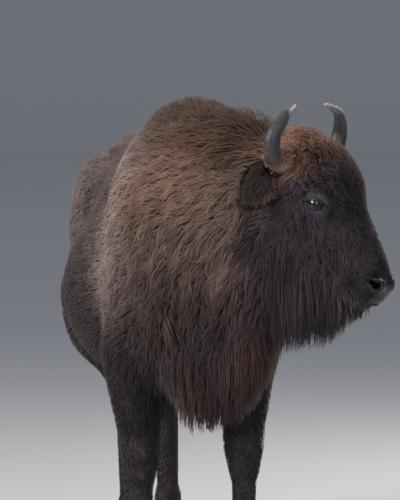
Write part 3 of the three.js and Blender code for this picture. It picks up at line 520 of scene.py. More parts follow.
# ------------------------------------------------------------------ colours: one set of colour marks, with some painted light and shade, for skin and coat
def rgb(r, g, b):
    c = np.array([r, g, b], float) / 255
    return np.where(c <= 0.04045, c / 12.92, ((c + 0.055) / 1.055) ** 2.4)
# the crest's tone is partly its hair and partly painted shade on the top of the neck
TONES = {"side": (74, 63, 60), "rump": (96, 84, 79), "shoulder": (98, 82, 76), "chest": (52, 42, 41), "hump": (72, 57, 50),
         "neck": (84, 67, 59), "crest": (56, 40, 32), "throat": (56, 43, 42), "mane": (62, 43, 39), "crown": (106, 77, 62),
         "forelock": (54, 44, 45), "face": (52, 45, 50), "muzzle": (17, 16, 18), "chin": (60, 52, 50), "jaw": (29, 25, 30),
         "cheek": (54, 47, 54), "lid": (58, 53, 58), "beard": (20, 18, 21), "thigh": (37, 32, 35), "shank": (25, 22, 27),
         "tail": (66, 56, 52), "tailtuft": (36, 31, 32)}
TONE = np.array([rgb(*TONES[z]) for z in ZONES])
def markings_and_painted_light(P, W):
    """colour of the coat over each place, with painted light and painted shade in some bands, (n, 3)"""
    C = W @ TONE
    h = head_coords(P)
    def mix(c, w):
        nonlocal C
        C = C * (1 - w[:, None]) + rgb(*c) * w[:, None]
    body = 1 - ramp(P[:, 0], 250, 420)
    # darker along the top of the hump, a pale grey patch behind it, rust along the crest, dark under the belly and
    # inside the legs, pale bands on the shoulder; the top's darkening is painted shade, the pale patch and bands are
    # partly hair colour and partly painted light, the dark low parts partly hair colour and partly painted shade
    # painted shade: the top of the hump is coloured darker
    mix((55, 42, 35), 0.75 * ramp(P[:, 2], 1440, 1570) * body)
    # pale grey patch behind the hump: partly grey hair, partly painted light along the back's lit edge
    mix((146, 131, 126), 0.85 * bell(P[:, 0] + 255, 150) * ramp(P[:, 2], 1290, 1410) * (1 - ramp(P[:, 2], 1500, 1590)) * body)
    mix((108, 78, 62), 0.5 * bell(P[:, 0] - 190, 150) * bell(P[:, 2] - 1360, 110))
    # dark under the belly and low on the body: partly darker hair, partly painted shade
    mix((37, 32, 34), 0.94 * (1 - ramp(P[:, 2], 740, 1110)) * body * (1 - 0.6 * ramp(P[:, 0], 150, 260)))
    mix((38, 32, 33), 0.85 * (1 - ramp(P[:, 2], 960, 1300)) * bell(P[:, 0] + 560, 420))
    # paler on the shoulder's sides: partly paler hair, partly painted light
    mix((104, 90, 86), 0.5 * bell(P[:, 0] + 40, 110) * ramp(np.abs(P[:, 1]), 200, 290) * bell(P[:, 2] - 1090, 250))
    mix((40, 34, 35), 0.8 * (1 - ramp(P[:, 2], 300, 620)))
    # pale band across the shoulder: partly paler hair, partly painted light
    mix((122, 103, 95), 0.5 * bell(P[:, 0] + 90, 150) * bell(P[:, 2] - 1120, 230) * body)
    # darker still low on the flank: partly darker hair, partly painted shade
    mix((28, 23, 25), 0.7 * (1 - ramp(P[:, 2], 760, 1010)) * body * (P[:, 2] > 500) * (1 - 0.8 * ramp(P[:, 0], 120, 240)))
    mix((74, 50, 43), 0.6 * bell(P[:, 0] - 330, 130) * bell(P[:, 2] - 800, 150) * (1 - ramp(h[:, 0], 120, 200)))
    # head: rust crown, darker front of the face, pale lids, dark round the nose, pale lips and chin
    near = (np.abs(h[:, 2]) < 260) * (np.abs(h[:, 1]) < 300) * ramp(h[:, 0], -130, -60)
    mix((114, 80, 62), near * 0.5 * bell(h[:, 0] + 10, 75) * ramp(h[:, 1], -20, 50))
    mix((48, 42, 45), near * 0.92 * ramp(h[:, 0], 72 - 0.35 * np.minimum(np.abs(h[:, 2]), 130), 140 - 0.48 * np.minimum(np.abs(h[:, 2]), 130)))
    mix((30, 26, 29), near * 0.7 * bell(h[:, 0] - 190, 120) * bell(h[:, 2], 62) * ramp(h[:, 1], -10, 30))
    for s in (1, -1):
        u, v, w, lens, r = eye_coords(P, s)
        q = np.sqrt(((u - 6) / 72) ** 2 + ((w - 2) / 60) ** 2)
        mix((60, 54, 59), near * 0.8 * (1 - ramp(q, 0.75, 1.1)) * (v > -10))
        # painted shade: dark lines in the crease above the eye and in the lid creases
        mix((24, 21, 25), near * 0.8 * bell(lens - 31, 5) * ramp(w, 0, 12) * (r < 110) * (v > -20))
        mix((20, 17, 19), near * 0.85 * (bell(lens - 9.5, 2.6) * ramp(w, -2, 4) + 0.7 * bell(lens - 8.5, 2.2) * (1 - ramp(w, -4, 2))) * (r < 80) * (v > -5))
    mix((19, 17, 19), near * 0.9 * ramp(h[:, 0], 400, 480) * ramp(h[:, 1], -102, -84))
    mix((88, 75, 68), near * 0.5 * bell(h[:, 1] - mouth_line(h[:, 0]) + 16, 10) * ramp(h[:, 0], 405, 470))
    k = 1 + 0.15 * waves(P, 260, 3) + 0.15 * waves(P, 75, 4) + 0.10 * waves(P, 34, 5)
    return np.clip(C * k[:, None] * [1.05, 1.07, 1.15], 0.002, 1)

# per place: spacing, length, width, curl, lift, hair's own clump size, waviness of direction
FUR = {"side": (8.8, 46, 4.0, .8, .85, 22, .25), "rump": (9.4, 38, 4.0, .5, .80, 20, .20), "shoulder": (6.9, 52, 3.7, 1.5, .90, 20, .40),
       "chest": (6.9, 66, 3.7, 1.8, .92, 22, .38), "hump": (7.0, 54, 3.7, 1.8, .92, 20, .42), "neck": (6.6, 76, 3.6, 2.0, .92, 22, .38),
       "crest": (6.6, 62, 3.5, 3.0, .95, 20, .50), "throat": (6.9, 84, 3.7, 2.0, .92, 24, .30), "mane": (7.0, 90, 3.8, 2.0, .92, 24, .2),
       "crown": (5.2, 40, 2.8, 3.6, 1.0, 15, .9), "forelock": (5.0, 42, 2.7, 3.8, 1.0, 15, .80), "face": (4.3, 18, 2.1, 1.4, .95, 10, .50),
       "muzzle": (4.6, 7, 1.6, .3, .8, 10, .20), "chin": (4.8, 30, 2.2, 1.5, .9, 12, .5), "jaw": (5.2, 46, 2.8, 2.0, .9, 18, .4),
       "cheek": (5.0, 38, 2.7, 2.6, .95, 15, .55), "lid": (4.3, 6, 1.3, .2, .5, 10, .25), "beard": (6.0, 70, 3.5, 2.0, .9, 20, .3),
       "thigh": (7.2, 32, 3.3, .6, .6, 18, .2), "shank": (6.2, 18, 2.6, .2, .35, 12, .12), "tail": (7.0, 40, 3.6, .5, .8, 14, .2),
       "tailtuft": (7.0, 60, 4.0, .8, .8, 16, .2)}
FURS = np.array([FUR[z] for z in ZONES])
LIES = {"side": (-.9, 0, -.34), "rump": (-.62, 0, -.75), "shoulder": (-.66, 0, -.72), "chest": (-.25, 0, -.95), "hump": (-.9, 0, -.42),
        "neck": (-.62, -.30, -.72), "crest": (-.8, -.35, -.45), "throat": (-.3, -.2, -.92), "mane": (-.05, 0, -1), "beard": (0, 0, -1),
        "thigh": (-.25, 0, -.96), "shank": (-.12, 0, -1), "tail": (-.1, 0, -1), "tailtuft": (0, 0, -1)}
def lie_of(P, N, W):
    """which way the coat lies, along the skin"""
    h = head_coords(P)
    base = np.array([LIES.get(z, (0, 0, 0)) for z in ZONES], float)
    d = W @ base
    out = np.sign(h[:, 2])[:, None] * LEFT * np.minimum(np.abs(h[:, 2:3]) / 60, 1)
    for i, z in enumerate(ZONES):
        if z in LIES:
            continue
        w = W[:, i:i + 1]
        if z in ("face", "lid", "muzzle"):
            v = DOWN_FACE * 0.85 + out * 0.45 - UPV * 0.1
        elif z == "forelock":
            v = DOWN_FACE * 0.9 + out * 0.35 + OUT_FACE * 0.2
        elif z == "crown":
            v = DOWN_FACE * np.clip(h[:, 0:1] / 60, -1, 1) * 0.8 + out * 0.6 - UPV * 0.25 - AHEAD * 0.2
        else:                                                     # cheek, jaw, chin: down and back
            v = -UPV * 0.85 - AHEAD * 0.35 + out * 0.12
        d = d + w * v
    d = d + 0.16 * np.sign(P[:, 1:2]) * np.array([0, 1.0, 0]) * ramp(P[:, 2:3], 1350, 1500) * (P[:, 0:1] < 150)
    d = d - N * (d * N).sum(-1, keepdims=True)
    return unit(d + 1e-6)

# ------------------------------------------------------------------ the skin mesh
tri = V[T]
if (np.cross(tri[:, 0], tri[:, 1]) * tri[:, 2]).sum() < 0:
    T = T[:, ::-1]
W_SKIN = zone_weights(V)
note("zones")
skinV, skinT = [V], [T]
earN = []
off = len(V)
for s in (1, -1):
    ev, ef = ear_mesh(s, 30, 18)
    et = []
    for f in ef:
        et += [f] if len(f) == 3 else [(f[0], f[1], f[2]), (f[0], f[2], f[3])]
    et = np.array(et)
    q = ev[et] - ev.mean(0)
    if (np.cross(q[:, 0], q[:, 1]) * q[:, 2]).sum() < 0:
        et = et[:, ::-1]
    skinV.append(ev); skinT.append(et + off); earN.append(len(ev)); off += len(ev)
def make(name, V, T, cols=None, smooth=True, mat=None, uv=None):
    me = bpy.data.meshes.new(name)
    V = world(V).astype(np.float32); T = np.ascontiguousarray(T, np.int32)
    me.vertices.add(len(V)); me.vertices.foreach_set("co", V.ravel())
    k = T.shape[1]
    me.loops.add(T.size); me.loops.foreach_set("vertex_index", T.ravel())
    me.polygons.add(len(T)); me.polygons.foreach_set("loop_start", np.arange(0, T.size, k, dtype=np.int32))
    me.polygons.foreach_set("loop_total", np.full(len(T), k, np.int32))
    me.update(calc_edges=True)
    me.polygons.foreach_set("use_smooth", np.full(len(T), smooth, bool))
    if cols is not None:
        a = me.color_attributes.new("tone", 'FLOAT_COLOR', 'POINT')
        a.data.foreach_set("color", np.concatenate([cols, np.ones((len(cols), 1))], 1).astype(np.float32).ravel())
    if uv is not None:
        u = me.uv_layers.new(name="OFBake")
        u.data.foreach_set("uv", uv[T.ravel()].astype(np.float32).ravel())
    ob = bpy.data.objects.new(name, me)
    bpy.context.scene.collection.objects.link(ob)
    if mat is not None:
        me.materials.append(mat)
    return ob
def nose_pad(P):
    h = head_coords(P)
    return ramp(h[:, 0] - 0.10 * h[:, 1], 496, 510) * ramp(h[:, 1], -100, -90) * (1 - ramp(np.abs(h[:, 2]), 40, 54)) * (1 - ramp(h[:, 1], -16, -4))
def bare(P):
    """1 where the skin shows bare: nose pad, nostrils' rims, lid edges and lips"""
    h = head_coords(P)
    m = nose_pad(P)
    for s in (1, -1):
        u, v, w, lens, r = eye_coords(P, s)
        m = np.maximum(m, (1 - ramp(lens, 8.0, 14.0)) * (v > 0) * (r < 60))
        q = np.sqrt(((h[:, 0] + 4 - NOSTRIL[0]) / 32) ** 2 + ((h[:, 1] - NOSTRIL[1]) / 22) ** 2 + ((h[:, 2] * s - NOSTRIL[2]) / 34) ** 2)
        m = np.maximum(m, 1 - ramp(q, 0.85, 1.25))
    lips = bell(h[:, 1] - mouth_line(h[:, 0]), 7) * ramp(h[:, 0], 430, 470) * (np.abs(h[:, 2]) < 100)
    return np.maximum(m, lips * 0.9)
EARTONE = rgb(40, 34, 37)
cols = markings_and_painted_light(V, W_SKIN)
b = bare(V)[:, None]
# the body's skin under the coat is painted lighter (x1.2) to offset the coat's shade between tufts
cols = cols * np.where(isH[:, None], 0.9, 1.2) * (1 - b) + rgb(17, 16, 19) * b
hv_ = head_coords(V)
DEEP_SHADE = np.zeros(len(V))
for s in (1, -1):
    # painted shade: the nostrils' walls darken with depth
    dark = ramp(PIT, 2.5, 7.0) * (nostril(hv_[:, 0], hv_[:, 1], hv_[:, 2] * s) < 4) * (hv_[:, 2] * s > 0)
    DEEP_SHADE = np.maximum(DEEP_SHADE, dark * (hv_[:, 0] > 430))
    u, v, w, lens, r = eye_coords(V, s)
    # painted shade: darker towards the lids' opening and in the gap behind the lids
    dark = np.maximum(dark, 0.9 * (1 - ramp(lens, 2.0, 6.5)) * (v > 0) * (r < 60))[:, None]
    cols = cols * (1 - dark) + rgb(6, 5, 6) * dark
ecols = np.repeat((EARTONE * 0.6)[None], sum(earN), 0)
cols = np.concatenate([cols, ecols])
wet = bare(V) * (1 - ramp(PIT, 2.0, 6.0)) * np.where(hv_[:, 0] < 330, 0.35, 1.0)
wet = np.concatenate([wet, np.zeros(sum(earN))])
SV, ST = np.concatenate(skinV), np.concatenate(skinT)

# ------------------------------------------------------------------ materials
def material(name, rough=0.75, spec=0.25, sheen=0.0, coat=0.0, sheen_tint=(1, 1, 1)):
    m = bpy.data.materials.new(name); m.use_nodes = True
    b = m.node_tree.nodes["Principled BSDF"]
    b.inputs["Roughness"].default_value = rough
    b.inputs["Specular IOR Level"].default_value = spec
    b.inputs["Sheen Weight"].default_value = sheen
    b.inputs["Sheen Roughness"].default_value = 0.5
    b.inputs["Sheen Tint"].default_value = (*sheen_tint, 1)
    b.inputs["Coat Weight"].default_value = coat
    b.inputs["Coat Roughness"].default_value = 0.06
    return m, m.node_tree, b
def attribute(nt, name):
    n = nt.nodes.new("ShaderNodeAttribute"); n.attribute_name = name
    return n
def noise(nt, scale, detail=3.0, rough=0.6):
    n = nt.nodes.new("ShaderNodeTexNoise"); n.inputs["Scale"].default_value = scale
    n.inputs["Detail"].default_value = detail; n.inputs["Roughness"].default_value = rough
    c = nt.nodes.new("ShaderNodeTexCoord"); nt.links.new(c.outputs["Object"], n.inputs["Vector"])
    return n
def maths(nt, op, a, b=None, clamp=False):
    n = nt.nodes.new("ShaderNodeMath"); n.operation = op; n.use_clamp = clamp
    for i, x in enumerate((a, b)):
        if x is None: continue
        if isinstance(x, (int, float)): n.inputs[i].default_value = x
        else: nt.links.new(x, n.inputs[i])
    return n.outputs[0]
def scaled(nt, colour, factor):
    n = nt.nodes.new("ShaderNodeVectorMath"); n.operation = 'SCALE'
    nt.links.new(colour, n.inputs[0]); nt.links.new(factor, n.inputs["Scale"])
    return n.outputs[0]
def bumped(nt, b, height, distance, strength=1.0):
    n = nt.nodes.new("ShaderNodeBump"); n.inputs["Distance"].default_value = distance
    n.inputs["Strength"].default_value = strength
    nt.links.new(height, n.inputs["Height"]); nt.links.new(n.outputs[0], b.inputs["Normal"])
skin_mat, nt, pb = material("hide", 0.62, 0.36)
a = attribute(nt, "tone"); f = noise(nt, 240, 4)
nt.links.new(scaled(nt, a.outputs["Color"], maths(nt, 'ADD', maths(nt, 'MULTIPLY', f.outputs[0], 0.7), 0.65)), pb.inputs["Base Color"])
w = attribute(nt, "wet")
nt.links.new(maths(nt, 'SUBTRACT', 0.75, maths(nt, 'MULTIPLY', w.outputs["Fac"], 0.47)), pb.inputs["Roughness"])
v = nt.nodes.new("ShaderNodeTexVoronoi"); v.inputs["Scale"].default_value = 260
c = nt.nodes.new("ShaderNodeTexCoord"); nt.links.new(c.outputs["Object"], v.inputs["Vector"])
bumped(nt, pb, maths(nt, 'ADD', maths(nt, 'MULTIPLY', v.outputs["Distance"], 0.5), f.outputs[0]), 0.0012, 0.6)
skin = make("skin", SV, ST, cols, True, skin_mat)
# near-black material for the nostrils' depths: painted shade
nostril_shade_mat, nt, pb = material("nostril", 0.9, 0.0)
pb.inputs["Base Color"].default_value = (0.002, 0.0018, 0.002, 1)
skin.data.materials.append(nostril_shade_mat)
DEEP_SHADE = np.concatenate([DEEP_SHADE, np.zeros(sum(earN))])
skin.data.polygons.foreach_set("material_index", (DEEP_SHADE[ST].min(1) > 0.3).astype(np.int32))
at = skin.data.attributes.new("wet", 'FLOAT', 'POINT'); at.data.foreach_set("value", wet.astype(np.float32))
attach(skin, "root")
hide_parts("trunk", "neck", "head", "tail", "foreleg_left", "foreleg_right", "hindleg_left", "hindleg_right", "ear_left", "ear_right")
note("skin", len(SV), len(ST))

# ------------------------------------------------------------------ horn paths, for the horns and for parting the coat round them
def head_world(q, s):
    return HEAD_AT + LEFT * s * q[..., 0:1] + AHEAD * q[..., 1:2] + UPV * q[..., 2:3]
HORN_PATH = np.array([[70, 0, -22], [95, 0, -20], [150, -4, -13], [190, -1, 10], [209, 5, 45], [210, 13, 83], [184, 27, 123], [157, 30, 149], [96, 23, 172]], float)
HORN_R = np.array([30.5, 30.5, 30.2, 28.6, 26.8, 24.0, 19.2, 14.0, 4.9])
def spline(K, t):
    """centripetal-free Catmull-Rom through the knots K at t in 0..1"""
    K = np.concatenate([[2 * K[0] - K[1]], K, [2 * K[-1] - K[-2]]])
    n = len(K) - 3
    x = np.clip(t * n, 0, n - 1e-9); i = x.astype(int); f = (x - i)
    f = f.reshape(f.shape + (1,) * (K.ndim - 1))
    p0, p1, p2, p3 = K[i], K[i + 1], K[i + 2], K[i + 3]
    return 0.5 * (2 * p1 + (p2 - p0) * f + (2 * p0 - 5 * p1 + 4 * p2 - p3) * f * f + (3 * p1 - p0 - 3 * p2 + p3) * f ** 3)
def tube(path, radius, around, up=UPV):
    """closed skin round a path; returns vertices and triangles"""
    n = len(path)
    tan = unit(np.gradient(path, axis=0))
    u = unit(np.cross(tan[0], up)); U = [u]
    for i in range(1, n):
        u = unit(u - tan[i] * (u @ tan[i])); U.append(u)
    U = np.array(U); Wd = np.cross(tan, U)
    th = np.arange(around) * 2 * pi / around
    R = radius if radius.ndim == 2 else np.repeat(radius[:, None], around, 1)
    P = path[:, None] + R[..., None] * (np.cos(th)[None, :, None] * U[:, None] + np.sin(th)[None, :, None] * Wd[:, None])
    V = np.concatenate([P.reshape(-1, 3), path[:1], path[-1:]])
    i, j = np.meshgrid(np.arange(n - 1), np.arange(around), indexing="ij")
    a0, a1 = i * around + j, i * around + (j + 1) % around
    b0, b1 = a0 + around, a1 + around
    T = np.concatenate([np.stack([a0, a1, b1], -1).reshape(-1, 3), np.stack([a0, b1, b0], -1).reshape(-1, 3)])
    j = np.arange(around); e = (n - 1) * around
    T = np.concatenate([T, np.stack([np.full(around, n * around), (j + 1) % around, j], -1),
                        np.stack([np.full(around, n * around + 1), e + j, e + (j + 1) % around], -1)])
    q = V[T] - V.mean(0)
    if (np.cross(q[:, 0], q[:, 1]) * q[:, 2]).sum() < 0:
        T = T[:, ::-1]
    return V, T
def near_horn(P):
    best = np.full(len(P), 1e4)
    for s in (1, -1):
        H = head_world(spline(HORN_PATH, np.linspace(0, 0.45, 12)), s)
        best = np.minimum(best, np.linalg.norm(P[:, None] - H[None], axis=-1).min(-1))
    return best

# ------------------------------------------------------------------ the coat
tri = V[T]
area = 0.5 * np.linalg.norm(np.cross(tri[:, 1] - tri[:, 0], tri[:, 2] - tri[:, 0]), axis=-1)
WT = W_SKIN[T].mean(1)
spacing = WT @ FURS[:, 0]
centre = tri.mean(1)
dens = area / spacing ** 2
dens *= (bare(centre) < 0.5) * (near_horn(centre) > 31) * (centre[:, 2] > 62)
DENSITY = 1.0
cum = np.cumsum(dens) * DENSITY
N = int(cum[-1])
at = np.searchsorted(cum, (np.arange(N) + rng.uniform(0, 1, N)) * (cum[-1] / N))
at = np.clip(at, 0, len(T) - 1)
b1, b2 = rng.uniform(0, 1, N), rng.uniform(0, 1, N)
flip = b1 + b2 > 1
b1[flip], b2[flip] = 1 - b1[flip], 1 - b2[flip]
bary = np.stack([1 - b1 - b2, b1, b2], -1)
R = (tri[at] * bary[..., None]).sum(1)
W = (W_SKIN[T[at]] * bary[..., None]).sum(1)
W = W / W.sum(-1, keepdims=True)
NRM = FLESH(R, True)[1]
fn = unit(np.cross(tri[at][:, 1] - tri[at][:, 0], tri[at][:, 2] - tri[at][:, 0]))
NRM = unit(NRM + 0.5 * fn * np.sign((fn * NRM).sum(-1, keepdims=True)))
note("roots", N)

def strands(R, NRM, W, rings, length, width, curl, lift, clump, wild, seed, hang=None, spread=0.0, level=0.7, reach=1.3, allow=0.0, low=1.0):
    """centre lines (n, rings+1, 3) of tufts lying from R along the coat, with their widths, a random value per lock, a
    random value per tuft and the root normals
    """
    r = np.random.default_rng(seed)
    n = len(R)
    depth = np.maximum(-COAT(R) * 1.0, 3.0)
    if hang is None:
        length = np.maximum(length, depth * reach)
    lie = lie_of(R, NRM, W)
    # locks: neighbours share a cell, lean the same way and close up towards their tips
    jit = R + 9 * np.stack([waves(R, 90, seed + 11), waves(R, 90, seed + 12), waves(R, 90, seed + 13)], -1)
    size = np.maximum(clump, 6)
    octave = np.round(np.log2(size / 8) * 2) / 2
    cell = 8 * 2 ** octave
    key = np.floor(jit / cell[:, None]).astype(np.int64)
    hsh = (key[:, 0] * 73856093) ^ (key[:, 1] * 19349663) ^ (key[:, 2] * 83492791) ^ (octave * 2).astype(np.int64) * 7919
    uniq, inv = np.unique(hsh, return_inverse=True)
    lock = np.random.default_rng(seed + 1)
    lr = lock.normal(size=(len(uniq), 3)); lv = lock.uniform(0, 1, len(uniq)); lc = lock.normal(size=len(uniq))
    drift = np.stack([waves(R, 240, seed + 2), waves(R, 240, seed + 3), waves(R, 240, seed + 4)], -1) * 0.35 \
        + np.stack([waves(R, 75, seed + 5), waves(R, 75, seed + 6), waves(R, 75, seed + 7)], -1) * 0.55
    d = lie + (drift + lr[inv] * 0.45 + r.normal(size=(n, 3)) * 0.16) * wild[:, None]
    d = unit(d - NRM * (d * NRM).sum(-1, keepdims=True))
    length = length * r.uniform(0.78, 1.16, n) * (0.9 + 0.2 * lv[inv])
    length = length * low ** 0.6
    step = length / rings
    pts = [R - NRM * 1.6]
    p = R.copy()
    phase = r.uniform(0, 2 * pi, n) * 0.4 + lv[inv] * 2 * pi
    tall = depth * lift * (0.90 + 0.2 * r.uniform(0, 1, n)) * (0.96 + 0.12 * lv[inv]) * low
    side0 = np.cross(NRM, d)
    for j in range(1, rings + 1):
        t = j / rings
        val, g = FLESH(p, True)
        dd = d - g * (d * g).sum(-1, keepdims=True)
        dd = unit(dd + 1e-6)
        if hang is not None:
            dd = unit(dd * (1 - hang[:, None]) + np.array([0, 0, -1.0]) * hang[:, None])
        p = p + dd * step[:, None] * (0.72 if j == 1 else 1.0)
        val, g = FLESH(p, True)
        want = tall * (1 - (1 - min(1, t / level)) ** 2) * (1 - 0.12 * t * (level < 1))
        if hang is None:
            move = np.clip(want - val, -20, 70)
        else:
            move = np.clip(np.maximum(want * 0.5 - val, 0), 0, 26)
        p = p + g * move[:, None]
        c, cg = COAT(p, True)
        if hang is not None:
            keep = -spread * (1 - 0.3 * t)
            flat = cg * np.array([1, 1, 0.0])
            p = p + flat * np.clip(keep - c, 0, 9)[:, None] * min(1.0, 1.6 * t)
            c, cg = COAT(p, True)
        p = p - cg * np.clip(c + 0.5 - allow * t * t, 0, 60)[:, None]
        q = p + side0 * (curl * np.sin(phase + t * 4.6))[:, None] * t ** 0.5 + NRM * (curl * 0.5 * np.cos(phase + t * 4.6))[:, None] * t
        pts.append(q)
        d = unit(d * 0.75 + dd * 0.25)
    C = np.stack(pts, 1)
    # locks close up
    cnt = np.bincount(inv, minlength=len(uniq)).astype(float)
    for j in range(1, rings + 1):
        t = j / rings
        mean = np.stack([np.bincount(inv, C[:, j, k], len(uniq)) for k in range(3)], -1) / cnt[:, None]
        pull = (0.24 * t ** 1.3) if hang is None else 0.36 * t ** 1.2
        C[:, j] += (mean[inv] - C[:, j]) * pull
    last = C[:, 1:].reshape(-1, 3)
    c, cg = COAT(last, True)
    over = allow * np.tile((np.arange(1, rings + 1) / rings) ** 2, n) if np.ndim(allow) == 0 else np.repeat(allow, rings) * np.tile((np.arange(1, rings + 1) / rings) ** 2, n)
    C[:, 1:] = (last - cg * np.clip(c + 0.3 - over, 0, 40)[:, None]).reshape(n, rings, 3)
    return C, width * r.uniform(0.8, 1.2, n), lc[inv], r.normal(size=n), NRM

def tufts(C, width, N0, taper=0.75, soft=0.62):
    """flattened three-sided needles along the centre lines; verts (n*(3m+1)), triangles"""
    n, m1, _ = C.shape
    m = m1 - 1                                                    # rings 0..m-1 and the tip
    tan = np.empty_like(C)
    tan[:, 1:-1] = C[:, 2:] - C[:, :-2]; tan[:, 0] = C[:, 1] - C[:, 0]; tan[:, -1] = C[:, -1] - C[:, -2]
    tan = unit(tan)
    side = unit(np.cross(tan, np.broadcast_to(N0[:, None], C.shape)) + 1e-9)
    up = np.cross(side, tan)
    t = np.linspace(0, 1, m1)[:-1]
    wd = width[:, None] * np.clip(np.where(t < 0.25, 0.62 + 1.5 * t, 1.0 - (t - 0.25) * taper), 0.2, 1.2)[None]
    c, sd, u = C[:, :m], side[:, :m], up[:, :m]
    a = c - sd * wd[..., None] * 0.5 - u * wd[..., None] * 0.12
    b = c + sd * wd[..., None] * 0.5 - u * wd[..., None] * 0.12
    d = c + u * wd[..., None] * 0.30
    Vx = np.concatenate([np.stack([a, b, d], 2).reshape(n, m * 3, 3), C[:, -1:]], 1)
    near = COAT(C.reshape(-1, 3), True)[1].reshape(n, m1, 3) if soft > 0 else np.broadcast_to(N0[:, None], C.shape)
    k = max(soft, 0.5)
    f = near[:, :m]
    Nx = np.concatenate([np.stack([f * k - sd * (1 - k), f * k + sd * (1 - k), f * k + u * (1 - k)], 2).reshape(n, m * 3, 3), near[:, -1:]], 1)
    F = []
    for j in range(m - 1):
        for k in range(3):
            x0, x1 = 3 * j + k, 3 * j + (k + 1) % 3
            F += [(x0, x1, x1 + 3), (x0, x1 + 3, x0 + 3)]
    for k in range(3):
        F.append((3 * (m - 1) + k, 3 * (m - 1) + (k + 1) % 3, 3 * m))
    F.append((0, 2, 1))
    F = np.array(F)
    nv = 3 * m + 1
    T = (np.arange(n)[:, None, None] * nv + F[None]).reshape(-1, 3)
    along = np.concatenate([np.repeat(np.arange(m) / m, 3), [1.0]])
    # which way round
    q = Vx[:64] - Vx[:64].mean(1, keepdims=True)
    f = q[:, F]
    if (np.cross(f[:, :, 0], f[:, :, 1]) * f[:, :, 2]).sum() < 0:
        T = T[:, ::-1]
    return Vx.reshape(-1, 3), T, along, nv, unit(Nx.reshape(-1, 3))

AXES_UNWRAP = {"body": ((-330, 0, 1050), np.array([1.0, 0, 0]), np.array([0, 1.0, 0])),
               "head": (tuple(head(200, -70, 0)), DOWN_FACE, LEFT),
               "leg": (None, np.array([0, 0, -1.0]), np.array([0, 1.0, 0])),
               "ear": (None, None, None)}
def unwrapped(kind, R, centre=None):
    """a cylinder's unwrap of the skin round its own part's axis"""
    c, ax, ref = AXES_UNWRAP[kind]
    c = np.array(c if centre is None else centre, float)
    e1 = unit(ref - ax * (ref @ ax)); e2 = np.cross(ax, e1)
    q = R - c
    u = np.arctan2(q @ e2, q @ e1) / (2 * pi) + 0.5
    v = q @ ax
    v = (v - v.min()) / max(v.max() - v.min(), 1e-6)
    return np.stack([0.01 + 0.975 * u, 0.01 + 0.975 * v], -1)
PIECES = 0
TRIS = 0
def coat_piece(name, C, width, shade, one, N0, colour, R, mat, unwrap="body", tip=1.14, root=0.72, taper=0.75, centre=None, soft=0.62):
    """one mesh of tufts, in parts of under 190,000 triangles"""
    global PIECES, TRIS
    per = 0
    m = C.shape[1] - 1
    per = (m - 1) * 6 + 4
    parts = int(np.ceil(len(C) * per / 188000))
    order = np.argsort(R[:, 0] + 0.3 * R[:, 2]) if parts > 1 else np.arange(len(C))
    uvs = unwrapped(unwrap, R, centre) if unwrap != "ear" else centre
    for k, ix in enumerate(np.array_split(order, parts)):
        Vx, Tx, along, nv, Nx = tufts(C[ix], width[ix], N0[ix], taper, soft)
        tone = colour[ix][:, None] * (root + (tip - root) * along[None, :, None] ** 0.8)
        tone = tone * (1 + 0.11 * shade[ix] + 0.07 * one[ix])[:, None, None]
        tone = np.clip(tone, 0.002, 0.9).reshape(-1, 3)
        pat = np.concatenate([np.repeat(np.arange(m) / m, 3), [1.0]]) * 0.003
        pu = np.concatenate([np.tile([0, 0.0026, 0.0013], m), [0.0013]])
        uv = (uvs[ix][:, None] + np.stack([pu, pat], -1)[None]).reshape(-1, 2)
        ob = make("%s_%d" % (name, k + 1) if parts > 1 else name, Vx, Tx, tone, True, mat, uv)
        ob.data.normals_split_custom_set_from_vertices(Nx.astype(np.float32))
        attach(ob, "root")
        PIECES += 1; TRIS += len(Tx)
fur_mat, nt, pb = material("wool", 0.78, 0.10, 0.12, 0, (0.85, 0.72, 0.66))
a = attribute(nt, "tone"); f = noise(nt, 420, 2)
nt.links.new(scaled(nt, a.outputs["Color"], maths(nt, 'ADD', maths(nt, 'MULTIPLY', f.outputs[0], 0.6), 0.7)), pb.inputs["Base Color"])
bumped(nt, pb, f.outputs[0], 0.0006, 0.4)
sleek_mat, nt, pb = material("sleek", 0.72, 0.08, 0.03, 0, (0.85, 0.8, 0.78))
a = attribute(nt, "tone"); f = noise(nt, 600, 2)
nt.links.new(scaled(nt, a.outputs["Color"], maths(nt, 'ADD', maths(nt, 'MULTIPLY', f.outputs[0], 0.6), 0.7)), pb.inputs["Base Color"])

FP = W @ FURS
for s in (1, -1):
    u, v, w, lens, r = eye_coords(R, s)
    q = (1 - ramp(np.sqrt(((u - 6) / 70) ** 2 + ((w - 2) / 58) ** 2), 0.7, 1.05)) * (v > -20) * (r < 120)
    FP = FP * (1 - q[:, None]) + np.array(FUR["lid"]) * q[:, None]
CALM = np.zeros(len(R))                                           # 1 where the coat lies low, behind the ear's cup
for s in (1, -1):
    for t in (0.1, 0.35, 0.6, 0.85):
        c = ear_point(s, t, 0.0, 0.0)
        CALM = np.maximum(CALM, 1 - ramp(np.linalg.norm(R - c, axis=-1), 60, 105))
COL = markings_and_painted_light(R, W)
zi = {z: i for i, z in enumerate(ZONES)}
headish = sum(W[:, zi[z]] for z in ("crown", "forelock", "face", "muzzle", "chin", "jaw", "cheek", "lid")) > 0.5
legish = sum(W[:, zi[z]] for z in ("shank",)) > 0.5
curly = (sum(W[:, zi[z]] for z in ("crown", "forelock", "crest")) > 0.5)
maney = sum(W[:, zi[z]] for z in ("mane", "beard")) > 0.5
tailish = (W[:, zi["tail"]] + W[:, zi["tailtuft"]]) > 0.5
front = (R[:, 0] > -420) & ~headish & ~tailish
group = np.where(legish, 3, np.where(curly, 4, np.where(headish, 2, np.where(front, 1, 0))))
SPEC = {0: ("coat_rear", 2, "coat_body", "body"), 1: ("coat_fore", 2, "coat_body", "body"), 2: ("coat_face", 3, "coat_head", "head"),
        3: ("coat_legs", 2, "coat_legs", "body"), 4: ("coat_crown", 4, "coat_head", "head")}
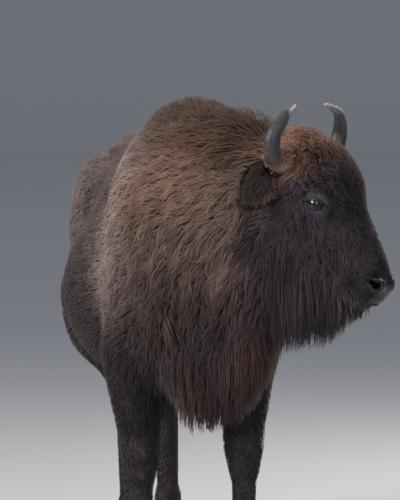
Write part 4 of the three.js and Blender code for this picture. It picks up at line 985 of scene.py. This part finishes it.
for g, (name, rings, slot, unwrap) in SPEC.items():
    ix = np.where(group == g)[0]
    if not len(ix):
        continue
    P = FP[ix]
    under = np.random.default_rng(50 + g).uniform(0, 1, len(ix)) < (0.40 if g in (1, 4) else 0.3 if g in (0, 2) else 0.0)
    C, wd, lc, one, N0 = strands(R[ix], NRM[ix], W[ix], rings, P[:, 1], P[:, 2] * (1), P[:, 3], P[:, 4] * (1 - 0.75 * CALM[ix]), P[:, 5], P[:, 6], 100 + g * 20,
                                 level=0.5 if g == 3 else 0.7, reach=1.3 if g != 3 else 1.0, low=np.where(under, 0.62, 1.0))
    wd = wd * np.where(under, 2.3, 1.0)
    if g == 3:                                                    # legs: an unwrap of each leg in its own column
        Rg = R[ix]
        uvs = np.zeros((len(ix), 2))
        for q, (fore, s) in enumerate(((1, 1), (1, -1), (0, 1), (0, -1))):
            m = ((Rg[:, 0] > -500) == bool(fore)) & ((Rg[:, 1] > 0) == (s > 0))
            if m.any():
                x, y = (FORE if fore else HIND)[s]
                uvs[m] = unwrapped("leg", Rg[m], (x, y, 300)) * [0.24, 1] + [0.25 * q, 0]
        coat_piece(name, C, wd, lc, one, N0, COL[ix], Rg, sleek_mat, "ear", 1.2, 0.7, 0.75, uvs)
    else:
        # the underwool is painted 1.16 times lighter to offset the shade deep in the coat
        coat_piece(name, C, wd, lc, one, N0, COL[ix] * np.where(under, 1.16, 1.0)[:, None], R[ix], fur_mat, unwrap, 1.08, 0.9 if g != 2 else 0.76)
    note(name, len(ix), TRIS)

# long hair that hangs: beard, throat, brisket and the tail's tuft
def hanging(name, mask_density, rings, width, seed, keep, unwrap, tip, root=0.6, colour=None, share=(0.5, 1.0), allow=0.0):
    dn = area * mask_density * DENSITY
    cm = np.cumsum(dn); n = int(cm[-1])
    r = np.random.default_rng(seed)
    at = np.clip(np.searchsorted(cm, (np.arange(n) + r.uniform(0, 1, n)) * (cm[-1] / n)), 0, len(T) - 1)
    b = r.dirichlet((1, 1, 1), n)
    Rl = (tri[at] * b[..., None]).sum(1)
    Wl = (W_SKIN[T[at]] * b[..., None]).sum(1); Wl /= Wl.sum(-1, keepdims=True)
    Nl = FLESH(Rl, True)[1]
    drop = np.zeros(n); alive = np.ones(n, bool)
    for k in range(1, 44):
        q = Rl + np.array([0, 0, -1.0]) * (k * 10)
        alive &= (COAT(q) < 4)
        drop[alive] = k * 10
    length = drop * r.uniform(*share, n) + 26
    ok = drop >= keep
    Rl, Wl, Nl, length, drop = Rl[ok], Wl[ok], Nl[ok], length[ok], drop[ok]
    n = len(Rl)
    hang = np.clip(0.45 + length / 260, 0.5, 0.93)
    C, wd, lc, one, N0 = strands(Rl, Nl, Wl, rings, length, np.full(n, width * (1)), np.full(n, 7.0), np.full(n, .95), np.full(n, 26.0),
                                 np.full(n, .45), seed + 1, hang, r.uniform(0.5, 26, n), 1.0, 1.3, allow)
    half = C[:, rings // 2]
    cl = markings_and_painted_light(half, zone_weights(half))
    if name == "coat_beard":                                      # some pale strands at its front
        cl = cl * 0.78
        pale = ((r.uniform(0, 1, n) < 0.24) * 0.6 * ramp(head_coords(Rl)[:, 0], 350, 430))[:, None]
        cl = cl * (1 - pale) + rgb(128, 113, 102) * pale
    coat_piece(name, C, wd, lc, one, N0, cl, Rl, fur_mat, unwrap, tip, root, 0.7)
    note(name, n, TRIS)
low = WT @ np.array([dict(beard=1.0, jaw=.8, chin=.8, throat=.7, mane=1.0, chest=.25, cheek=.35, neck=.15).get(z, 0) for z in ZONES])
hc = head_coords(centre)
is_head = ramp(-hc[:, 1] + 14 * waves(centre, 60, 31), 90, 200) * (hc[:, 0] > 20) * ((centre - HEAD_AT) @ AHEAD > -60) * (np.abs(hc[:, 2]) < 170)
down = FLESH(centre, True)[1][:, 2]
facing = ramp(-down, -0.55, 0.35)
not_bare = (bare(centre) < 0.5)
hanging("coat_beard", low * facing * is_head * not_bare / 15.0, 5, 3.8, 500, 40, "head", 1.25, 0.7, None, (0.6, 1.22), 30.0)
hanging("coat_brisket", low * facing * (is_head < 0.02) * (hc[:, 1] < -150) * (centre[:, 0] > 0) * (1 - ramp(centre[:, 2], 820, 980)) / 40.0, 5, 4.4, 540, 40, "body", 1.2, 0.75, None, (0.45, 1.12), 12.0)
tl = WT[:, zi["tailtuft"]]
hanging("coat_tail_tuft", tl * (centre[:, 2] > 600) / 60.0, 4, 4.5, 580, 20, "body", 1.2, 0.8, None, (0.8, 1.6))

# ears: short hair outside, a fringe along the rim and long hair in the cup
E = []
er = np.random.default_rng(640)
for s in (1, -1):
    nE = int(5200 * DENSITY)
    t = er.uniform(-0.12, 1.0, nE) ; v = np.clip(er.uniform(-1.35, 1.35, nE), -1, 1)
    w = np.where(er.uniform(0, 1, nE) < 0.5, 1.0, -1.0)
    p0 = ear_point(s, t, v, w)
    e = 0.02
    tt = unit(ear_point(s, t + e, v, w) - p0)
    vv = unit(ear_point(s, t, np.clip(v + e, -1, 1), w) - ear_point(s, t, np.clip(v - e, -1, 1), w))
    root, along, face, side = ear_frame(s)
    nn = np.cross(tt, vv); nn = unit(nn * np.sign((nn * face).sum(-1, keepdims=True)) * w[:, None])
    rim = np.abs(v) > 0.8
    L = np.where(rim, er.uniform(26, 54, nE), np.where(w > 0, er.uniform(26, 62, nE), er.uniform(16, 28, nE)))
    d = tt * 0.9 + vv * (np.sign(v) * np.where(rim, 0.8, 0.25) * np.where(w > 0, 0.6, 1))[:, None] + er.normal(size=(nE, 3)) * 0.16
    d = unit(d - nn * (d * nn).sum(-1, keepdims=True) * np.where(rim, 0.3, 0.8)[:, None])
    C = np.stack([p0 - nn * 1.0] + [p0 + d * (L * k / 3)[:, None] + nn * (np.where(w > 0, 10, 5) * (1 - (1 - k / 3) ** 2))[:, None] for k in (1.6, 3)], 1)
    # the rim's fringe is paler: partly paler hair, partly painted light from a rim light
    col = np.where((w > 0)[:, None] & ~rim[:, None], rgb(60, 50, 50)[None], np.where(rim[:, None], rgb(84, 69, 61)[None], rgb(62, 51, 48)[None])) * (0.3 + 1.9 * er.uniform(0, 1, nE) ** 1.6)[:, None]
    uvs = np.stack([np.clip((t + 0.12) / 1.14, 0, 1) * 0.97 + 0.005, (v * 0.5 + 0.5) * 0.48 + np.where(w > 0, 0.0, 0.5) + 0.004], -1)
    coat_piece("coat_ear_left" if s > 0 else "coat_ear_right", C, er.uniform(1.8, 2.8, nE), er.normal(size=nE) * 0.6, er.normal(size=nE) * 0.8,
               nn, col, p0, fur_mat, "ear", 1.15, 0.8, 0.75, uvs, 0)
note("ears", TRIS)

# ------------------------------------------------------------------ horns
horn_mat, nt, pb = material("horn", 0.48, 0.32)
a = attribute(nt, "tone"); f = noise(nt, 90, 5); f2 = noise(nt, 500, 2)
nt.links.new(scaled(nt, a.outputs["Color"], maths(nt, 'ADD', maths(nt, 'MULTIPLY', f.outputs[0], 0.9), 0.55)), pb.inputs["Base Color"])
nt.links.new(maths(nt, 'ADD', maths(nt, 'MULTIPLY', f.outputs[0], 0.35), 0.34), pb.inputs["Roughness"])
bumped(nt, pb, maths(nt, 'ADD', f.outputs[0], maths(nt, 'MULTIPLY', f2.outputs[0], 0.25)), 0.0013, 0.6)
def smooth_steps(t, stops):
    c = np.zeros(t.shape + (3,)) + stops[0][1]
    for (t0, c0), (t1, c1) in zip(stops[:-1], stops[1:]):
        w = ramp(t, t0, t1)[..., None]
        c = np.where((t >= t0)[..., None], c0 * (1 - w) + c1 * w, c)
    return c
for s in (1, -1):
    n, ar = ((150, 56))
    t = np.concatenate([np.linspace(0, 0.97, n - 8), 0.97 + 0.03 * np.sin(np.linspace(0.12, 1, 8) * pi / 2)])
    path = head_world(spline(HORN_PATH, t), s)
    rad = spline(HORN_R, t)
    th = np.arange(ar) * 2 * pi / ar
    g = np.random.default_rng(700 + s)
    RR = np.repeat(rad[:, None], ar, 1)
    TT = np.repeat(t[:, None], ar, 1)
    lump = sum(np.sin(th[None] * k + t[:, None] * g.uniform(30, 60) + g.uniform(0, 6)) for k in (2, 3, 5)) / 3
    rings_ = np.sin(2 * pi * (t[:, None] * 26 + 0.25 * np.sin(th[None] + 1) + 1.2 * t[:, None] ** 2))
    base = (1 - ramp(TT, 0.2, 0.62))
    RR = RR * (1 + base * (0.022 * rings_ + 0.035 * lump) + 0.012 * np.sin(th[None] * 9 + 2 * lump) * (1 - ramp(TT, .8, 1)))
    hv, ht = tube(path, RR, ar)
    stops = [(0.0, rgb(104, 90, 76)), (0.26, rgb(118, 100, 84)), (0.38, rgb(58, 51, 49)), (0.55, rgb(46, 43, 45)), (0.82, rgb(60, 57, 60)),
             (0.93, rgb(104, 102, 104)), (1.0, rgb(146, 146, 147))]
    streak = 1 + 0.16 * np.sin(th[None] * 11 + lump * 3) + 0.14 * lump + 0.10 * rings_ * base
    hc_ = (smooth_steps(TT, stops) * streak[..., None]).reshape(-1, 3)
    hc_ = np.clip(np.concatenate([hc_, hc_[:1], hc_[-1:]]), 0.003, 0.9)
    nm = "horn_left" if s > 0 else "horn_right"
    ob = make(nm + "_full", hv, ht, hc_, True, horn_mat)
    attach(ob, "root"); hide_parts(nm)

# ------------------------------------------------------------------ eyes
eye_mat, nt, pb = material("eye_ball", 0.07, 0.3, 0, 0.1)
a = attribute(nt, "tone"); nt.links.new(a.outputs["Color"], pb.inputs["Base Color"])
for s in (1, -1):
    nu, nv = ((96, 64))
    ax = EYE_AXES[s]
    gaze = unit(ax[1] * 0.93 + ax[0] * 0.30 - ax[2] * 0.08)
    e1 = unit(ax[0] - gaze * (ax[0] @ gaze)); e2 = np.cross(gaze, e1)
    if e2[2] < 0: e2 = -e2
    ph = np.linspace(0, pi, nv)[1:-1]; th = np.arange(nu) * 2 * pi / nu
    PH, TH = np.meshgrid(ph, th, indexing="ij")
    flat = lambda PHx, THx: np.stack([np.sin(PHx) * np.cos(THx), np.sin(PHx) * np.sin(THx), np.cos(PHx)], -1)
    dirs = np.concatenate([flat(PH, TH).reshape(-1, 3), [[0, 0, 1], [0, 0, -1]]])
    ang = np.arccos(np.clip(dirs[:, 2], -1, 1))
    rr = EYE_R * (1 + 0.055 * (1 - ramp(ang, 0.0, 0.62)))
    Pe = eye_at(s) + rr[:, None] * (dirs[:, :1] * e1 + dirs[:, 1:2] * e2 + dirs[:, 2:] * gaze)
    x, y = dirs[:, 0] * 1.0, dirs[:, 1]
    pup = np.sqrt((x / 0.36) ** 2 + (y / 0.22) ** 2) + (dirs[:, 2] < 0) * 9
    col = np.repeat(rgb(27, 20, 19)[None], len(Pe), 0)
    iris = rgb(23, 16, 12)[None] * (1 + 0.35 * np.sin(np.arctan2(y, x) * 37)[:, None] * 0.5)
    w = (1 - ramp(ang, 0.60, 0.68))[:, None]; col = col * (1 - w) + iris * w
    w = bell(ang - 0.63, 0.05)[:, None]; col = col * (1 - w) + rgb(16, 12, 12) * w
    w = (1 - ramp(pup, 0.9, 1.08))[:, None]; col = col * (1 - w) + rgb(6, 6, 8) * w
    m = (nv - 2)
    i, j = np.meshgrid(np.arange(m - 1), np.arange(nu), indexing="ij")
    a0, a1 = i * nu + j, i * nu + (j + 1) % nu
    Te = np.concatenate([np.stack([a0, a1, a1 + nu], -1).reshape(-1, 3), np.stack([a0, a1 + nu, a0 + nu], -1).reshape(-1, 3)])
    j = np.arange(nu)
    Te = np.concatenate([Te, np.stack([np.full(nu, m * nu), (j + 1) % nu, j], -1), np.stack([np.full(nu, m * nu + 1), (m - 1) * nu + j, (m - 1) * nu + (j + 1) % nu], -1)])
    q = Pe[Te] - eye_at(s)
    if (np.cross(q[:, 0], q[:, 1]) * q[:, 2]).sum() < 0:
        Te = Te[:, ::-1]
    nm = "eye_left" if s > 0 else "eye_right"
    ob = make(nm + "_ball", Pe, Te, np.clip(col, 0.001, 1), True, eye_mat)
    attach(ob, "root"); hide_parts(nm)

# ------------------------------------------------------------------ hooves
claw_mat, nt, pb = material("claw", 0.42, 0.4)
f = noise(nt, 60, 5); a = attribute(nt, "tone")
nt.links.new(scaled(nt, a.outputs["Color"], maths(nt, 'ADD', maths(nt, 'MULTIPLY', f.outputs[0], 0.9), 0.55)), pb.inputs["Base Color"])
bumped(nt, pb, f.outputs[0], 0.0012, 0.6)
def claw_mesh(x, y, inner, kx, ahead_by):
    L, Wd, H = 104 * kx, 49 * kx, 76.0
    n = 40; th = np.arange(n) * 2 * pi / n
    lev = np.array([[0, .985, .985, 0], [.03, 1, 1, -.1], [.5, .86, .95, -5], [.82, .72, .88, -10], [1, .5, .66, -12]])
    zz = np.linspace(0, 1, 22)
    k = np.stack([np.interp(zz, lev[:, 0], lev[:, i]) for i in (1, 2, 3)], -1)
    Vc = []
    for z, (kl, kw, back) in zip(zz, k):
        c, sn = np.cos(th), np.sin(th)
        px = np.sign(c) * np.abs(c) ** .8 * L * kl / 2
        py = np.sign(sn) * np.abs(sn) ** .72 * Wd * kw / 2
        py = np.where(py * inner > 0, py * .8, py) * (1 - .22 * (px / (L / 2)) ** 2 * (px > 0))
        ridge = 1 + 0.008 * np.sin(z * 60) * (z > 0.08)
        Vc.append(np.stack([x + ahead_by + px * ridge + back - (1 - kl) * L * .18, y + py * ridge, np.full(n, z * H)], -1))
    Vc = np.concatenate(Vc + [[[x + ahead_by, y, 0]], [[x + ahead_by - 14, y, H]]])
    m = len(zz)
    i, j = np.meshgrid(np.arange(m - 1), np.arange(n), indexing="ij")
    a0, a1 = i * n + j, i * n + (j + 1) % n
    Tc = np.concatenate([np.stack([a0, a1, a1 + n], -1).reshape(-1, 3), np.stack([a0, a1 + n, a0 + n], -1).reshape(-1, 3)])
    j = np.arange(n)
    Tc = np.concatenate([Tc, np.stack([np.full(n, m * n), (j + 1) % n, j], -1), np.stack([np.full(n, m * n + 1), (m - 1) * n + j, (m - 1) * n + (j + 1) % n], -1)])
    return Vc, Tc
for leg, feet, kx, ahead_by in (("fore", FORE, 1.0, 36), ("hind", HIND, 0.95, 50)):
    for side, s in (("left", 1), ("right", -1)):
        x, y = feet[s]
        for which, o in (("outer", s), ("inner", -s)):
            Vc, Tc = claw_mesh(x + ahead_by * 0, y + 28.5 * o * (kx if leg == "fore" else 0.94), -o, kx, ahead_by + 16 - 16)
            cc = rgb(46, 42, 42)[None] * (0.8 + 0.5 * ramp(Vc[:, 2:3], 0, 70)) * (1 + 0.1 * np.sin(Vc[:, 2:3] * 0.9))
            ob = make("hoof_%s_%s_%s" % (leg, side, which), Vc, Tc, cc, True, claw_mat)
            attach(ob, "root"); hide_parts("claw_%s_%s_%s" % (leg, side, which))
            fx = x + (10 if leg == "hind" else 2); fz = (HIND_FETLOCK if leg == "hind" else FORE_FETLOCK) - 10
            p = np.array([[fx - 30, y + 20 * o, fz + 8], [fx - 36, y + 22 * o, fz + 4], [fx - 54, y + 27 * o, fz - 16], [fx - 66, y + 30 * o, fz - 30]], float)
            t = np.linspace(0, 1, 18)
            r_ = 16 - 7 * t; r_[-4:] *= np.sqrt(1 - np.linspace(0.1, 0.93, 4) ** 2)
            dv, dt = tube(spline(p, t), r_, 20)
            ob = make("dewhoof_%s_%s_%s" % (leg, side, which), dv, dt, np.repeat(rgb(44, 40, 40)[None], len(dv), 0), True, claw_mat)
            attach(ob, "root"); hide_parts("dewclaw_%s_%s_%s" % (leg, side, which))
note("horns, eyes, hooves")

# ------------------------------------------------------------------ floor, light, camera
fm, nt, pb = material("studio", 0.9, 0.1)
pb.inputs["Base Color"].default_value = (0.52, 0.53, 0.55, 1)
sh = SHIFT / 1000
az = radians(78)
right = Vector((cos(az), sin(az), 0)); back = Vector((sin(az) * cos(radians(3.5)), -cos(az) * cos(radians(3.5)), sin(radians(3.5))))
target = Vector((0 + sh[0], 0.005 + sh[1], 1.109 + sh[2]))
flat = np.array([back[0], back[1], 0]); flat /= np.linalg.norm(flat); rt = np.array([right[0], right[1], 0])
prof = [(26, 0), (0, 0), (-36, 0)] + [(-36 - 7 * sin(a), 7 - 7 * cos(a)) for a in np.linspace(0.08, pi / 2, 24)] + [(-43, 30)]
SWV = np.array([[flat * d + rt * w + np.array([0, 0, z]) for w in (-34, 34)] for d, z in prof]).reshape(-1, 3)
sweep = bpy.data.meshes.new("studio_floor")
sweep.from_pydata(SWV.tolist(), [], [(2 * i, 2 * i + 1, 2 * i + 3, 2 * i + 2) for i in range(len(prof) - 1)])
sweep.polygons.foreach_set("use_smooth", np.ones(len(prof) - 1, bool))
floor = bpy.data.objects.new("studio_floor", sweep); bpy.context.scene.collection.objects.link(floor)
sweep.materials.append(fm)
W_ = bpy.data.worlds.new("studio"); W_.use_nodes = True
W_.node_tree.nodes["Background"].inputs[0].default_value = (0.80, 0.84, 0.92, 1)
W_.node_tree.nodes["Background"].inputs[1].default_value = 0.40
bpy.context.scene.world = W_
def lamp(name, at, aim, size, watts, colour):
    l = bpy.data.lights.new(name, 'AREA'); l.shape = 'DISK'; l.size = size; l.energy = watts; l.color = colour
    o = bpy.data.objects.new(name, l); o.location = at
    o.rotation_euler = (Vector(aim) - Vector(at)).to_track_quat('-Z', 'Y').to_euler()
    bpy.context.scene.collection.objects.link(o)
mid = Vector((sh[0] + 0.1, sh[1] + 0.1, 1.1))
lamp("key", mid - right * 4.6 + back * 2.2 + Vector((0, 0, 2.4)), mid, 2.6, 430, (1.0, 0.96, 0.91))
lamp("front", mid + right * 1.5 + back * 6.0 + Vector((0, 0, 1.6)), mid, 4.0, 190, (0.93, 0.96, 1.0))
lamp("rim", mid - back * 3.4 + right * 3.4 + Vector((0, 0, 3.0)), mid, 2.0, 220, (1.0, 0.9, 0.82))
cam = bpy.data.cameras.new("view"); cam.lens = 302.4; cam.sensor_width = 36.0; cam.clip_end = 100
co = bpy.data.objects.new("view", cam)
co.location = target + back * 14.0
co.rotation_euler = (-back).to_track_quat('-Z', 'Y').to_euler()
bpy.context.scene.collection.objects.link(co)
bpy.context.scene.camera = co
bpy.context.scene.view_settings.view_transform = 'Standard'
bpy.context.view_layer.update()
note("pieces", PIECES, "coat triangles", TRIS, "all", sum(len(o.data.polygons) for o in bpy.data.objects if o.type == 'MESH'))
